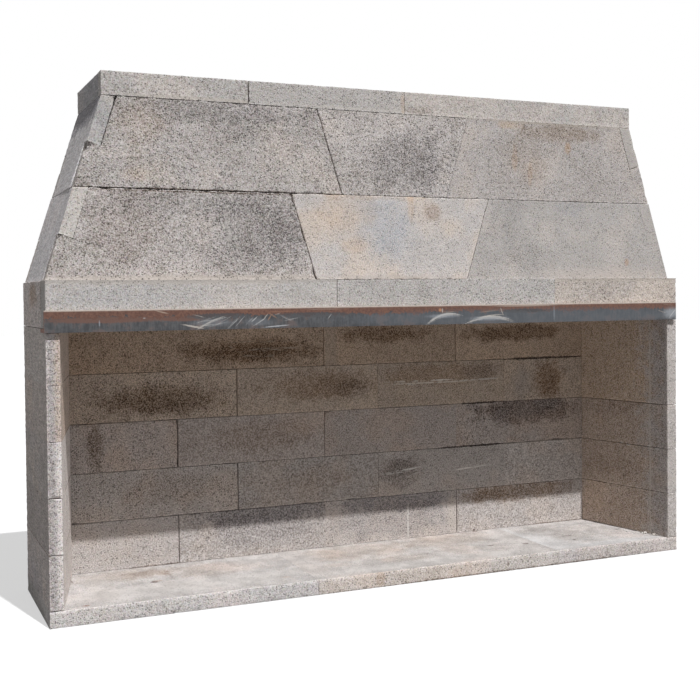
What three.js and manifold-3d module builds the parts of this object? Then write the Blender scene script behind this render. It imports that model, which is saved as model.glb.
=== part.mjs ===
// A wide fireplace, dry-stacked from lightweight volcanic concrete blocks: base slabs, a firebox of
// five courses with splayed sides, a steel angle over its opening, a sixth course, a tapering hood
// of two courses whose plates lap at the corners, and a collar round the flue mouth.
// Millimetres, +Z up. The pieces are laid out from the left outer face (x = 0), the front of the
// walls (y = 0, +y towards the back) and the floor (z = 0). The whole stack then moves so that the
// origin is under the middle of the part, at the floor.
import * as THREE from "three";
import { mergeVertices } from "three/addons/utils/BufferGeometryUtils.js";
import Module from "manifold-3d";

// Overall sizes
const overallWidth = 2638;
const wallDepth = 557;

// Every block: the worn edge round it, and the dry joint to the next one
const arris = 2;
const joint = 0.3;

// Base slabs
const baseThickness = 57;
const baseJointShares = [0.3688, 0.7695]; // places along the width

// Firebox walls
const courseHeight = 190;
const courseCount = 5;
const sideFrontThickness = 48;
const sideBackThickness = 151;
const interiorShift = 5; // the opening's middle lies this far right of the width's middle
const backWallThickness = 73;
const backWallSeat = 66; // how far the back wall's ends run into the side blocks
const backBlockLength = 627;
const bondOffset = 123.5; // from the opening's middle to the nearest upright joint

// Steel angle over the opening
const angleUprightLeg = 75;
const angleFlatLeg = 88;
const angleThickness = 13;
const angleToeRadius = 5;
const angleLeftOverhang = 5;
const angleRightInset = 12;

// Sixth course: the front band, and the side and back blocks behind it
const headerHeight = 163;
const bandThickness = 98;
const bandJointShares = [0.4014, 0.7657]; // places along the width

// Hood
const hoodCourseHeights = [319, 318];
const hoodSetBack = 48; // from the front band's face to the hood's front
const hoodFootInset = 6; // from the outer face of the side wall to the hood's foot
const hoodTopInset = 205; // the same, at the hood's top
const hoodBackLean = 50; // how far the back comes forward over the hood's height
const plateThickness = 50;
const lapHeightShare = 0.5; // of a hood course: the height of the lap at each corner
const upperKeystoneFoot = 444;
const keystoneShifts = [0, 7]; // how far right of the middle each course's keystone stands

// Collar round the flue mouth
const collarHeight = 85;
const collarThickness = 50;
const collarJointShares = [0.2392, 0.5224]; // places along the collar's own width

// Colours, as the blocks look in the light
const pumiceGrey = 0xa9a39c;
const pumicePale = 0xbcb7b0;
const pumiceTan = 0xb3a698;
const pumiceWarm = 0xb59c84;
const fireboxBrown = 0x9a9087;
const millScale = 0x5b636d;

// Levels and planes worked out from those sizes
const wallTop = baseThickness + courseHeight * courseCount;
const hoodFoot = wallTop + headerHeight;
const hoodHeight = hoodCourseHeights[0] + hoodCourseHeights[1];
const hoodTop = hoodFoot + hoodHeight;
const interiorDepth = wallDepth - backWallThickness;
const hoodFront = hoodSetBack + plateThickness;
const sideSlope = (hoodTopInset - hoodFootInset) / hoodHeight;
const backSlope = hoodBackLean / hoodHeight;
const sidePlateAcross = plateThickness * Math.hypot(1, sideSlope);
const backPlateAcross = plateThickness * Math.hypot(1, backSlope);
const collarBack = wallDepth - hoodBackLean;

const wasm = await Module();
wasm.setup();

// A closed geometry as a solid that can be cut
function solidOf(geometry) {
  const bare = geometry.clone();
  bare.deleteAttribute("normal");
  bare.deleteAttribute("uv");
  const merged = mergeVertices(bare);
  return new wasm.Manifold(
    new wasm.Mesh({
      numProp: 3,
      vertProperties: merged.attributes.position.array,
      triVerts: new Uint32Array(merged.index.array),
    }),
  );
}

function cut(geometry, tool) {
  const left = solidOf(geometry).subtract(solidOf(tool)).getMesh();
  const result = new THREE.BufferGeometry();
  const positions = new THREE.BufferAttribute(left.vertProperties, 3);
  result.setAttribute("position", positions);
  result.setIndex(new THREE.BufferAttribute(left.triVerts, 1));
  const faceted = result.toNonIndexed();
  faceted.computeVertexNormals();
  return faceted;
}

// An outline with each corner cut back by the arris along both of its edges
function wornShape(corners) {
  const points = [];
  corners.forEach((corner, index) => {
    const before = corners[(index + corners.length - 1) % corners.length];
    const after = corners[(index + 1) % corners.length];
    [before, after].forEach((neighbour) => {
      const along = neighbour.clone().sub(corner).setLength(arris);
      points.push(along.add(corner));
    });
  });
  return new THREE.Shape(points);
}

// A cast block: an outline drawn through its thickness, with a worn edge at both faces
function blockGeometry(corners, thickness) {
  const geometry = new THREE.ExtrudeGeometry(wornShape(corners), {
    depth: thickness - 2 * arris,
    bevelThickness: arris,
    bevelSize: arris,
    bevelOffset: -arris,
    bevelSegments: 1,
  });
  return geometry.translate(0, 0, arris);
}

function corner(u, v) {
  return new THREE.Vector2(u, v);
}

function rectangle(u0, v0, u1, v1) {
  return [corner(u0, v0), corner(u1, v0), corner(u1, v1), corner(u0, v1)];
}

// Leans a block: each point moves through the thickness by slope for each step up its outline
function leaned(geometry, slope) {
  const shear = new THREE.Matrix4().makeShear(0, 0, 0, slope, 0, 0);
  return geometry.applyMatrix4(shear);
}

// An outline drawn on the floor plan, (x, y), and raised
const plan = new THREE.Quaternion();
// An outline drawn on the front elevation, (x, z), and carried towards the viewer
const frontElevation = new THREE.Quaternion().setFromAxisAngle(
  new THREE.Vector3(1, 0, 0),
  Math.PI / 2,
);
// An outline drawn on the side elevation, (y, z), and carried to the right
const sideElevation = new THREE.Quaternion().setFromRotationMatrix(
  new THREE.Matrix4().makeBasis(
    new THREE.Vector3(0, 1, 0),
    new THREE.Vector3(0, 0, 1),
    new THREE.Vector3(1, 0, 0),
  ),
);

function blockMesh(name, geometry, turn, position, colour) {
  const material = new THREE.MeshStandardMaterial({
    color: colour,
    roughness: 0.95,
    metalness: 0,
  });
  const mesh = new THREE.Mesh(geometry, material);
  mesh.name = name;
  mesh.quaternion.copy(turn);
  mesh.position.copy(position);
  return mesh;
}

// A straight block between two x, y places, from the group's own level up
function boxBlock(name, x0, x1, y0, y1, height, colour) {
  const geometry = blockGeometry(rectangle(0, 0, x1 - x0, y1 - y0), height);
  return blockMesh(name, geometry, plan, new THREE.Vector3(x0, y0, 0), colour);
}

function mirrored(corners, width) {
  return corners.map((point) => corner(width - point.x, point.y)).reverse();
}

// Places along a run of blocks: its two ends, and the joints between
function runPlaces(start, end, jointShares) {
  const places = jointShares.map((share) => start + share * (end - start));
  return [start, ...places, end];
}

// A row of straight blocks along x, with a dry joint after each but the last
function blockRow(group, names, places, y0, y1, height, colours) {
  names.forEach((name, index) => {
    const isLast = index === names.length - 1;
    const end = isLast ? places[index + 1] : places[index + 1] - joint;
    const colour = colours[index];
    group.add(boxBlock(name, places[index], end, y0, y1, height, colour));
  });
}

function levelGroup(level) {
  const group = new THREE.Group();
  group.position.z = level;
  return group;
}

function baseSlabs() {
  const group = levelGroup(0);
  const places = runPlaces(0, overallWidth, baseJointShares);
  const names = ["base_slab_left", "base_slab_middle", "base_slab_right"];
  const colours = [pumiceGrey, pumiceTan, pumiceGrey];
  const height = baseThickness - joint;
  blockRow(group, names, places, 0, wallDepth, height, colours);
  return group;
}

// How thick a side wall is at its back corner inside the firebox
function backThicknessOf(side) {
  return side === "left"
    ? sideBackThickness + interiorShift
    : sideBackThickness - interiorShift;
}

// The plan of a left side block: flat outside, splayed inside, rebated for the back wall's end
function sidePlan(side, front) {
  const backThickness = backThicknessOf(side);
  const splay = (backThickness - sideFrontThickness) / interiorDepth;
  const rebate = backThickness - backWallSeat;
  return [
    corner(0, front),
    corner(sideFrontThickness + splay * front, front),
    corner(backThickness, interiorDepth),
    corner(rebate, interiorDepth),
    corner(rebate, wallDepth),
    corner(0, wallDepth),
  ];
}

function sideBlockGeometry(side, front, height) {
  const left = sidePlan(side, front);
  const outline = side === "left" ? left : mirrored(left, overallWidth);
  return blockGeometry(outline, height);
}

// The seat for the angle's flat leg, across the top front of both highest side blocks
function angleSeatTool() {
  const back = angleFlatLeg - angleThickness + joint;
  const height = angleThickness + joint;
  const tool = new THREE.BoxGeometry(
    overallWidth + 2 * angleThickness,
    back + angleThickness,
    2 * height,
  );
  const middle = (back - angleThickness) / 2;
  return tool.translate(overallWidth / 2, middle, courseHeight);
}

function sideWall(side) {
  const group = levelGroup(baseThickness);
  for (let course = 1; course <= courseCount; course += 1) {
    let geometry = sideBlockGeometry(side, 0, courseHeight - joint);
    if (course === courseCount) geometry = cut(geometry, angleSeatTool());
    const name = "side_" + side + "_course_" + course;
    const level = new THREE.Vector3(0, 0, (course - 1) * courseHeight);
    group.add(blockMesh(name, geometry, plan, level, pumicePale));
  }
  return group;
}

// Both ends of the back wall, inside the rebates of the side blocks
function backWallEnds() {
  return [
    backThicknessOf("left") - backWallSeat + joint,
    overallWidth - backThicknessOf("right") + backWallSeat - joint,
  ];
}

// Courses in running bond, each the mirror of the one below
function backWall() {
  const group = levelGroup(baseThickness);
  const [start, end] = backWallEnds();
  const middle = overallWidth / 2 + interiorShift;
  for (let course = 1; course <= courseCount; course += 1) {
    const row = levelGroup((course - 1) * courseHeight);
    const offset = course % 2 === 1 ? -bondOffset : bondOffset;
    const joints = [-1, 0, 1].map((step) => middle + offset + step * backBlockLength);
    const places = [start, ...joints, end];
    const names = [1, 2, 3, 4].map((n) => "back_course_" + course + "_block_" + n);
    const colours = names.map(() => fireboxBrown);
    const height = courseHeight - joint;
    const front = interiorDepth + joint;
    blockRow(row, names, places, front, wallDepth, height, colours);
    group.add(row);
  }
  return group;
}

// Rolled steel angle: one leg hangs in front of the band, the other lies under it
function lintelAngle() {
  const reach = angleFlatLeg - angleThickness;
  const toe = angleToeRadius;
  const outline = new THREE.Shape();
  outline.moveTo(-angleThickness, 0);
  outline.lineTo(reach, 0);
  outline.lineTo(reach, angleThickness - toe);
  outline.absarc(reach - toe, angleThickness - toe, toe, 0, Math.PI / 2);
  outline.lineTo(0, angleThickness);
  outline.lineTo(0, angleUprightLeg - toe);
  outline.absarc(-toe, angleUprightLeg - toe, toe, 0, Math.PI / 2);
  outline.lineTo(-angleThickness, angleUprightLeg);
  const length = overallWidth + angleLeftOverhang - angleRightInset;
  const geometry = new THREE.ExtrudeGeometry(outline, {
    depth: length,
    bevelEnabled: false,
    curveSegments: 5,
  });
  const level = wallTop - angleThickness - joint;
  const position = new THREE.Vector3(-angleLeftOverhang, -joint, level);
  const mesh = blockMesh("lintel_angle", geometry, sideElevation, position, millScale);
  mesh.material.roughness = 0.6;
  mesh.material.metalness = 0.7;
  return mesh;
}

function sixthCourse() {
  const group = levelGroup(wallTop);
  const height = headerHeight - joint;
  const places = runPlaces(0, overallWidth, bandJointShares);
  const names = ["front_band_left", "front_band_middle", "front_band_right"];
  const colours = [pumicePale, pumiceGrey, pumiceTan];
  blockRow(group, names, places, 0, bandThickness, height, colours);
  ["left", "right"].forEach((side) => {
    const geometry = sideBlockGeometry(side, bandThickness + joint, height);
    const name = "side_" + side + "_course_6";
    group.add(blockMesh(name, geometry, plan, new THREE.Vector3(), pumicePale));
  });
  const [start, end] = backWallEnds();
  const front = interiorDepth + joint;
  const back = boxBlock("back_course_6", start, end, front, wallDepth, height, fireboxBrown);
  group.add(back);
  return group;
}

// The hood's outer side plane at a height over its foot, measured from the wall's outer face
function hoodOuter(height) {
  return hoodFootInset + sideSlope * height;
}

// The hood's outer back plane at a height over its foot
function hoodBack(height) {
  return wallDepth - backSlope * height;
}

// One course of the hood, in heights over its own foot
function hoodCourse(courseName, base, courseHigh, keystoneHalfFoot, keystoneShift) {
  const high = courseHigh - joint;
  const lap = courseHigh * lapHeightShare;
  const outer = (z) => hoodOuter(base + z);
  const inner = (z) => outer(z) + sidePlateAcross + joint;
  const back = (z) => hoodBack(base + z);
  const backInner = (z) => back(z) - backPlateAcross - joint;
  const group = levelGroup(base);
  const name = (piece) => "hood_" + courseName + "_" + piece;

  // Front: a keystone wider at its head, between two plates that reach the corners low down
  const keyMiddle = overallWidth / 2 + keystoneShift;
  const keyHalf = (z) => keystoneHalfFoot + sideSlope * z;
  const keystone = [
    corner(keyMiddle - keyHalf(0), 0),
    corner(keyMiddle + keyHalf(0), 0),
    corner(keyMiddle + keyHalf(high), high),
    corner(keyMiddle - keyHalf(high), high),
  ];
  // A front plate as seen on the left, its inner end at a given distance from the outer wall
  const frontPlate = (end) => [
    corner(outer(0), 0),
    corner(end(0) - joint, 0),
    corner(end(high) - joint, high),
    corner(inner(high), high),
    corner(inner(lap), lap),
    corner(outer(lap), lap),
  ];
  const leftPlate = frontPlate((z) => keyMiddle - keyHalf(z));
  const rightPlate = frontPlate((z) => overallWidth - keyMiddle - keyHalf(z));
  const fronts = [
    ["front_left", leftPlate, pumiceGrey],
    ["front_keystone", keystone, pumiceWarm],
    ["front_right", mirrored(rightPlate, overallWidth), pumiceGrey],
  ];
  fronts.forEach(([piece, outline, colour]) => {
    const geometry = blockGeometry(outline, plateThickness);
    const position = new THREE.Vector3(0, hoodFront, 0);
    group.add(blockMesh(name(piece), geometry, frontElevation, position, colour));
  });

  // Sides: lean inwards, and reach the front and back faces high up
  const sidePlate = [
    corner(hoodFront + joint, 0),
    corner(backInner(0), 0),
    corner(backInner(lap), lap + joint),
    corner(back(lap), lap + joint),
    corner(back(high), high),
    corner(hoodSetBack, high),
    corner(hoodSetBack, lap + joint),
    corner(hoodFront + joint, lap + joint),
  ];
  const sideGeometry = () => blockGeometry(sidePlate, sidePlateAcross);
  const leftGeometry = leaned(sideGeometry(), sideSlope);
  const leftPosition = new THREE.Vector3(outer(0), 0, 0);
  group.add(blockMesh(name("side_left"), leftGeometry, sideElevation, leftPosition, pumicePale));
  const rightGeometry = leaned(sideGeometry(), -sideSlope);
  const rightPosition = new THREE.Vector3(overallWidth - outer(0) - sidePlateAcross, 0, 0);
  const right = name("side_right");
  group.add(blockMesh(right, rightGeometry, sideElevation, rightPosition, pumicePale));

  // Back: one plate that leans forward, with the same laps as the front
  const backPlate = [
    corner(outer(0), 0),
    corner(overallWidth - outer(0), 0),
    corner(overallWidth - outer(lap), lap),
    corner(overallWidth - inner(lap), lap),
    corner(overallWidth - inner(high), high),
    corner(inner(high), high),
    corner(inner(lap), lap),
    corner(outer(lap), lap),
  ];
  const backGeometry = leaned(blockGeometry(backPlate, backPlateAcross), backSlope);
  const backPosition = new THREE.Vector3(0, back(0), 0);
  group.add(blockMesh(name("back"), backGeometry, frontElevation, backPosition, pumiceGrey));
  return group;
}

function hood() {
  const group = levelGroup(hoodFoot);
  const [lowerHeight, upperHeight] = hoodCourseHeights;
  const [lowerShift, upperShift] = keystoneShifts;
  const upperHalf = upperKeystoneFoot / 2;
  const lowerHalf = upperHalf + sideSlope * upperHeight;
  group.add(hoodCourse("lower", 0, lowerHeight, lowerHalf, lowerShift));
  group.add(hoodCourse("upper", lowerHeight, upperHeight, upperHalf, upperShift));
  return group;
}

function collar() {
  const group = levelGroup(hoodTop);
  const left = hoodTopInset;
  const right = overallWidth - hoodTopInset;
  const frontInner = hoodSetBack + collarThickness;
  const backInner = collarBack - collarThickness;
  const places = runPlaces(left, right, collarJointShares);
  const names = ["collar_front_left", "collar_front_middle", "collar_front_right"];
  const colours = [pumiceGrey, pumiceGrey, pumiceTan];
  blockRow(group, names, places, hoodSetBack, frontInner, collarHeight, colours);
  const sides = [
    ["collar_side_left", left, left + collarThickness],
    ["collar_side_right", right - collarThickness, right],
  ];
  sides.forEach(([name, x0, x1]) => {
    const y0 = frontInner + joint;
    const y1 = backInner - joint;
    group.add(boxBlock(name, x0, x1, y0, y1, collarHeight, pumicePale));
  });
  const back = boxBlock(
    "collar_back",
    left,
    right,
    backInner,
    collarBack,
    collarHeight,
    pumiceGrey,
  );
  group.add(back);
  return group;
}

const fireplace = new THREE.Group();
const leftmost = -angleLeftOverhang;
const foremost = -angleThickness - joint;
fireplace.position.x = -(leftmost + overallWidth) / 2;
fireplace.position.y = -(foremost + wallDepth) / 2;
fireplace.add(baseSlabs());
fireplace.add(sideWall("left"));
fireplace.add(sideWall("right"));
fireplace.add(backWall());
fireplace.add(lintelAngle());
fireplace.add(sixthCourse());
fireplace.add(hood());
fireplace.add(collar());

export default fireplace;
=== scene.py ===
import math
import bmesh
import bpy
import numpy as np
from mathutils import Matrix, Vector, noise


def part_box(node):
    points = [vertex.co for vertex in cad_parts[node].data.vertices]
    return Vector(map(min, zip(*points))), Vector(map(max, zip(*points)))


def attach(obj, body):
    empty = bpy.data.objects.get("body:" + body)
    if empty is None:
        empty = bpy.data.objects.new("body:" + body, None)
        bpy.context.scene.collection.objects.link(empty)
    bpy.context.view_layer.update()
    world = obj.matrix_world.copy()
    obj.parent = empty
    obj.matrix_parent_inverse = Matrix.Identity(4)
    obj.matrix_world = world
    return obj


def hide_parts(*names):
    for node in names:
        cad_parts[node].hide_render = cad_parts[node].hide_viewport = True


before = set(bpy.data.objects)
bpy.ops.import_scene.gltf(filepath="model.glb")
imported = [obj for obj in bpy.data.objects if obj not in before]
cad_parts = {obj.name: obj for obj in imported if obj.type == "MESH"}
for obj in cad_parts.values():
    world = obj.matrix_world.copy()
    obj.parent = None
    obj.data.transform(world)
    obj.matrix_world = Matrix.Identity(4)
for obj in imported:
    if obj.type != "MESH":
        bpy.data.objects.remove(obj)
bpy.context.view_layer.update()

scene = bpy.context.scene
scene.view_settings.view_transform = "Standard"

# Camera: stands left of the fireplace, at chest height, and looks slightly down
viewpoint = dict(
    place=(-1.852243, -4.027029, 1.106218),
    yaw=23.6531,  # degrees from straight ahead towards the right
    pitch=-1.2374,
    roll=-0.5736,
    lens=56.449,
    sensor=36,
    shiftUp=-0.042857,
)


def makeCamera():
    yaw, pitch, roll = (math.radians(viewpoint[key]) for key in ("yaw", "pitch", "roll"))
    flat = math.cos(pitch)
    ahead = Vector((math.sin(yaw) * flat, math.cos(yaw) * flat, math.sin(pitch)))
    level = Vector((math.cos(yaw), -math.sin(yaw), 0))
    upright = level.cross(ahead)
    right = level * math.cos(roll) + upright * math.sin(roll)
    up = upright * math.cos(roll) - level * math.sin(roll)
    bpy.ops.object.camera_add(location=viewpoint["place"])
    camera = bpy.context.object
    camera.name = "photoCamera"
    turn = Matrix((right, up, -ahead)).transposed()
    camera.matrix_world = Matrix.Translation(Vector(viewpoint["place"])) @ turn.to_4x4()
    camera.data.lens = viewpoint["lens"]
    camera.data.sensor_width = viewpoint["sensor"]
    camera.data.shift_y = viewpoint["shiftUp"]
    scene.camera = camera


makeCamera()
print("camera placed")

# Planes and slopes of the stack, read from the frame
boxes = {name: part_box(name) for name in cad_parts}
hoodFoot = boxes["hood_lower_side_left"][0]
collarCorner = boxes["collar_side_left"][0]
hoodRise = collarCorner.z - hoodFoot.z
sideSlope = (collarCorner.x - hoodFoot.x) / hoodRise
backSlope = (boxes["hood_lower_back"][1].y - boxes["collar_back"][1].y) / hoodRise
stack = dict(
    plate=0.05,  # thickness of a hood plate
    joint=0.0003,
    lapShare=0.5,  # of a hood course: the height of the lap at the corners
    frontWidth=0.048,  # of a side wall's front face
    openDepth=0.03,  # of an open joint
    within=1e-4,  # corners this close to a plane are on it
    clear=0.01,  # corners this far past a plane are beyond it
    straightOn=0.8,  # cosine of the angle within which a face looks a way
)
joint = stack["joint"]
sideAcross = stack["plate"] * math.hypot(1, sideSlope)
lapSlant = sideSlope * sideAcross  # the laps are cut square to the leaning plates
backAcross = stack["plate"] * math.hypot(1, backSlope)


# Modelling helpers, all for the block in edit mode. A test picks by place.
def startBlock(name, low, high):
    bpy.ops.object.select_all(action="DESELECT")
    low, high = Vector(map(min, low, high)), Vector(map(max, low, high))
    bpy.ops.mesh.primitive_cube_add(size=1, location=(low + high) / 2, scale=high - low)
    block = bpy.context.object
    block.name = name
    block.data.name = name
    bpy.ops.object.transform_apply(location=True, rotation=False, scale=True)
    bpy.ops.object.mode_set(mode="EDIT")
    return block


def editMesh():
    return bmesh.from_edit_mesh(bpy.context.object.data)


def splitAt(axis, place):
    bpy.ops.mesh.select_all(action="SELECT")
    normal = Vector((0, 0, 0))
    normal[axis] = 1
    bpy.ops.mesh.bisect(plane_co=normal * place, plane_no=normal)


def pickCorners(test):
    bpy.ops.mesh.select_mode(type="VERT")
    bpy.ops.mesh.select_all(action="DESELECT")
    mesh = editMesh()
    for corner in mesh.verts:
        if test(corner.co):
            corner.select_set(True)
    bmesh.update_edit_mesh(bpy.context.object.data)


def pushOut(facing, test, move):
    bpy.ops.mesh.select_mode(type="FACE")
    bpy.ops.mesh.select_all(action="DESELECT")
    mesh = editMesh()
    for face in mesh.faces:
        straightOn = face.normal.dot(Vector(facing)) > stack["straightOn"]
        if straightOn and test(face.calc_center_median()):
            face.select_set(True)
    bmesh.update_edit_mesh(bpy.context.object.data)
    bpy.ops.mesh.extrude_region_move(TRANSFORM_OT_translate={"value": move})


def nudge(test, move):
    pickCorners(test)
    bpy.ops.transform.translate(value=move)


def near(a, b):
    return abs(a - b) < stack["within"]


# Shapes of the blocks, each from a cube at its size and place.
# A joint of the fire wall stands open in front and closes behind.
def straightBlock(name, low, high, node):
    block = startBlock(name, low, high)
    gaps = openJoints.get(node, (0, 0))
    closed = low.y + stack["openDepth"]
    if max(gaps) > 0:
        splitAt(1, closed)
        atEnd = lambda p, end: near(p.x, end) and p.y < closed - stack["clear"]
        nudge(lambda p: atEnd(p, low.x), (gaps[0], 0, 0))
        nudge(lambda p: atEnd(p, high.x), (-gaps[1], 0, 0))
    return block


def sideBlock(name, low, high, node):
    isLeft = "left" in node
    outer = low.x if isLeft else high.x
    inward = 1 if isLeft else -1
    wall = boxes["back_course_1_block_1" if isLeft else "back_course_1_block_4"]
    wallEnd = wall[0].x if isLeft else wall[1].x
    rebate = abs(wallEnd - outer) - joint
    corner = wall[0].y - joint
    backWidth = high.x - low.x
    wallFront = boxes["side_left_course_1"][0].y
    splay = (backWidth - stack["frontWidth"]) / (corner - wallFront)
    frontWidth = stack["frontWidth"] + splay * (low.y - wallFront)
    isSeat = node.endswith("course_5")
    lintel = boxes["lintel_angle"]
    top = lintel[0].z - joint if isSeat else high.z
    block = startBlock(name, (outer, low.y, low.z), (outer + inward * backWidth, corner, top))
    splitAt(0, outer + inward * rebate)
    pickCorners(lambda p: near(p.y, low.y))
    shrink = (frontWidth / backWidth, 1, 1)
    bpy.ops.transform.resize(value=shrink, center_override=(outer, low.y, low.z))
    pushOut((0, 1, 0), lambda p: abs(p.x - outer) < rebate, (0, high.y - corner, 0))
    if isSeat:
        seatBack = lintel[1].y + joint
        splitAt(1, seatBack)
        pushOut((0, 0, 1), lambda p: p.y > seatBack, (0, 0, high.z - top))
    return block


# The outer edge of the hood's sides at a height, on the left or the right
def hoodOuter(level, isLeft):
    run = sideSlope * (level - hoodFoot.z)
    lowRight = boxes["hood_lower_side_right"][1].x
    return hoodFoot.x + run if isLeft else lowRight - run


def lapLevel(low, high):
    return low.z + stack["lapShare"] * (high.z + joint - low.z)


def lapDrop(inward):
    return (-inward * sideSlope * lapSlant, 0, -lapSlant)


def hoodFrontPlate(name, low, high, node):
    isLeft = "left" in node
    inward = 1 if isLeft else -1
    lap = lapLevel(low, high)
    outer = hoodOuter(low.z, isLeft)
    inner = outer + inward * (sideAcross + joint)
    end = high.x if isLeft else low.x
    isFar = lambda p: (end - p.x) * inward > stack["plate"]
    block = startBlock(name, (outer, low.y, low.z), (end, high.y, lap))
    splitAt(0, inner)
    pushOut((0, 0, 1), lambda p: (p.x - inner) * inward > 0, (0, 0, high.z - lap))
    for level in (lap, high.z):
        lean = sideSlope * (level - low.z) * inward
        nudge(lambda p: near(p.z, level) and isFar(p), (lean, 0, 0))
        nudge(lambda p: near(p.z, level) and near(p.x, end), (-lean, 0, 0))
    stepEnd = inner + sideSlope * (lap - low.z) * inward
    nudge(lambda p: near(p.z, lap) and near(p.x, stepEnd), lapDrop(inward))
    return block


def keystone(name, low, high, node):
    spread = sideSlope * (high.z - low.z)
    middle = (low.x + high.x) / 2
    block = startBlock(name, (low.x + spread, low.y, low.z), (high.x - spread, high.y, high.z))
    nudge(lambda p: near(p.z, high.z) and p.x < middle, (-spread, 0, 0))
    nudge(lambda p: near(p.z, high.z) and p.x > middle, (spread, 0, 0))
    return block


# A side plate whose front foot stands proud of the plate below it, in metres
turnedOut = dict(hood_upper_side_left=0.004)


def hoodSidePlate(name, low, high, node):
    isLeft = "left" in node
    inward = 1 if isLeft else -1
    lap = lapLevel(low, high) + joint
    outer = hoodOuter(low.z, isLeft)
    back = boxes["hood_lower_back"][1].y - backSlope * (low.z - hoodFoot.z)
    frontInner = low.y + stack["plate"] + joint
    backInner = back - backAcross - joint
    inner = outer + inward * sideAcross
    block = startBlock(name, (outer, frontInner, low.z), (inner, backInner, lap))
    pushOut((0, 0, 1), lambda p: True, (0, 0, high.z - lap))
    pushOut((0, -1, 0), lambda p: p.z > lap, (0, low.y - frontInner, 0))
    pushOut((0, 1, 0), lambda p: p.z > lap, (0, backAcross + joint, 0))
    isBack = lambda p: p.y > backInner - stack["clear"]
    isFront = lambda p: p.y < frontInner + stack["clear"]
    for level in (lap, high.z):
        rise = level - low.z
        nudge(lambda p: near(p.z, level), (sideSlope * rise * inward, 0, 0))
        nudge(lambda p: near(p.z, level) and isBack(p), (0, -backSlope * rise, 0))
    tongueInner = outer + inward * (sideAcross + sideSlope * (lap - low.z))
    nudge(lambda p: near(p.z, lap) and near(p.x, tongueInner) and isFront(p), lapDrop(inward))
    turned = -inward * turnedOut.get(node, 0)
    nudge(lambda p: near(p.z, low.z) and isFront(p), (turned, 0, 0))
    return block


def hoodBackPlate(name, low, high, node):
    lap = lapLevel(low, high)
    ends = [hoodOuter(low.z, True), hoodOuter(low.z, False)]
    inners = [ends[0] + sideAcross + joint, ends[1] - sideAcross - joint]
    block = startBlock(name, (ends[0], high.y - backAcross, low.z), (ends[1], high.y, lap))
    for place in inners:
        splitAt(0, place)
    pushOut((0, 0, 1), lambda p: inners[0] < p.x < inners[1], (0, 0, high.z - lap))
    for level in (lap, high.z):
        lean = sideSlope * (level - low.z)
        nudge(lambda p: near(p.z, level) and p.x < 0, (lean, 0, 0))
        nudge(lambda p: near(p.z, level) and p.x > 0, (-lean, 0, 0))
        nudge(lambda p: near(p.z, level), (0, -backSlope * (level - low.z), 0))
    return block


# How fine the surface is, and how worn, in metres
finish = dict(
    bevel=0.0022,
    fineShare=0.45,  # of the bevel, where an edge is hardly worn
    fineBelow=0.32,
    fine=0.006,
    coarse=0.013,
    swell=0.0008,
    pores=0.0013,
    rimReach=0.009,  # how far from an edge the rubbed tone reaches
    edgeLoss=0.0020,  # how far every edge is rubbed back
    crumble=0.0045,
    crumbleSize=0.012,
    chip=0.010,
    chipSize=0.045,
    chipShare=0.30,  # noise above this is a chip
    deepest=0.024,
    heldReach=0.010,  # from a tight edge to the full relief
    jointReach=0.012,  # into a joint of the fire wall
    tightBelow=0.12,  # an edge with less wear than this stays sharp
    skin=4e-4,  # points this close to a side of the block are on it
    corner=0.15,  # radians that an edge turns through
    aroundLap=0.02,  # edges this close to half height belong to the lap
    longest=1.6,  # cells that an edge may still span
    mostCuts=99,
    manySided=2e-3,  # square metres from which such a face is cut by planes
    weightSteps=50,
    smoothAngle=50,  # degrees
)


def sidePlane(side, low, high):
    return dict(left=(0, low.x), right=(0, high.x), bottom=(2, low.z), top=(2, high.z))[side]


def isTight(edge, low, high, tight):
    planes = [sidePlane(side, low, high) for side in tight]
    onPlane = lambda axis, place: all(abs(vert.co[axis] - place) < 2e-4 for vert in edge.verts)
    return any(onPlane(*plane) for plane in planes)


def convexEdges(mesh):
    turnsBy = lambda edge: edge.calc_face_angle_signed(0)
    return [edge for edge in mesh.edges if turnsBy(edge) > finish["corner"]]


def edgeRing(start):
    ring, waiting = {start}, [start]
    while waiting:
        edge = waiting.pop()
        for face in edge.link_faces:
            around = list(face.edges)
            if len(around) != 4:
                continue
            other = around[(around.index(edge) + 2) % 4]
            if other not in ring:
                ring.add(other)
                waiting.append(other)
    return ring


def subdivideEvenly(spacing):
    bpy.ops.mesh.select_mode(type="EDGE")
    while True:
        mesh = editMesh()

        def cells(edge):
            run = edge.verts[0].co - edge.verts[1].co
            return sum(abs(run[axis]) / spacing[axis] for axis in range(3))

        longest = max(mesh.edges, key=cells)
        if cells(longest) < finish["longest"]:
            return
        ring = edgeRing(longest)
        wanted = round(sum(cells(edge) for edge in ring) / len(ring)) - 1
        cuts = 1 if wanted > finish["mostCuts"] else max(1, wanted)
        bpy.ops.mesh.select_all(action="DESELECT")
        for edge in ring:
            edge.select_set(True)
        bmesh.update_edit_mesh(bpy.context.object.data)
        bpy.ops.mesh.subdivide(number_cuts=cuts)


# A face with more than four corners has no edge rings, so its block is cut by planes
def isManySided():
    mesh = editMesh()
    large = [face for face in mesh.faces if face.calc_area() > finish["manySided"]]
    return any(len(face.verts) > 4 for face in large)


def sliceEvenly(low, high, spacing):
    for axis in (1, 2, 0):
        cells = round((high[axis] - low[axis]) / spacing[axis])
        for step in range(1, cells):
            splitAt(axis, low[axis] + (high[axis] - low[axis]) * step / cells)


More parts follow.
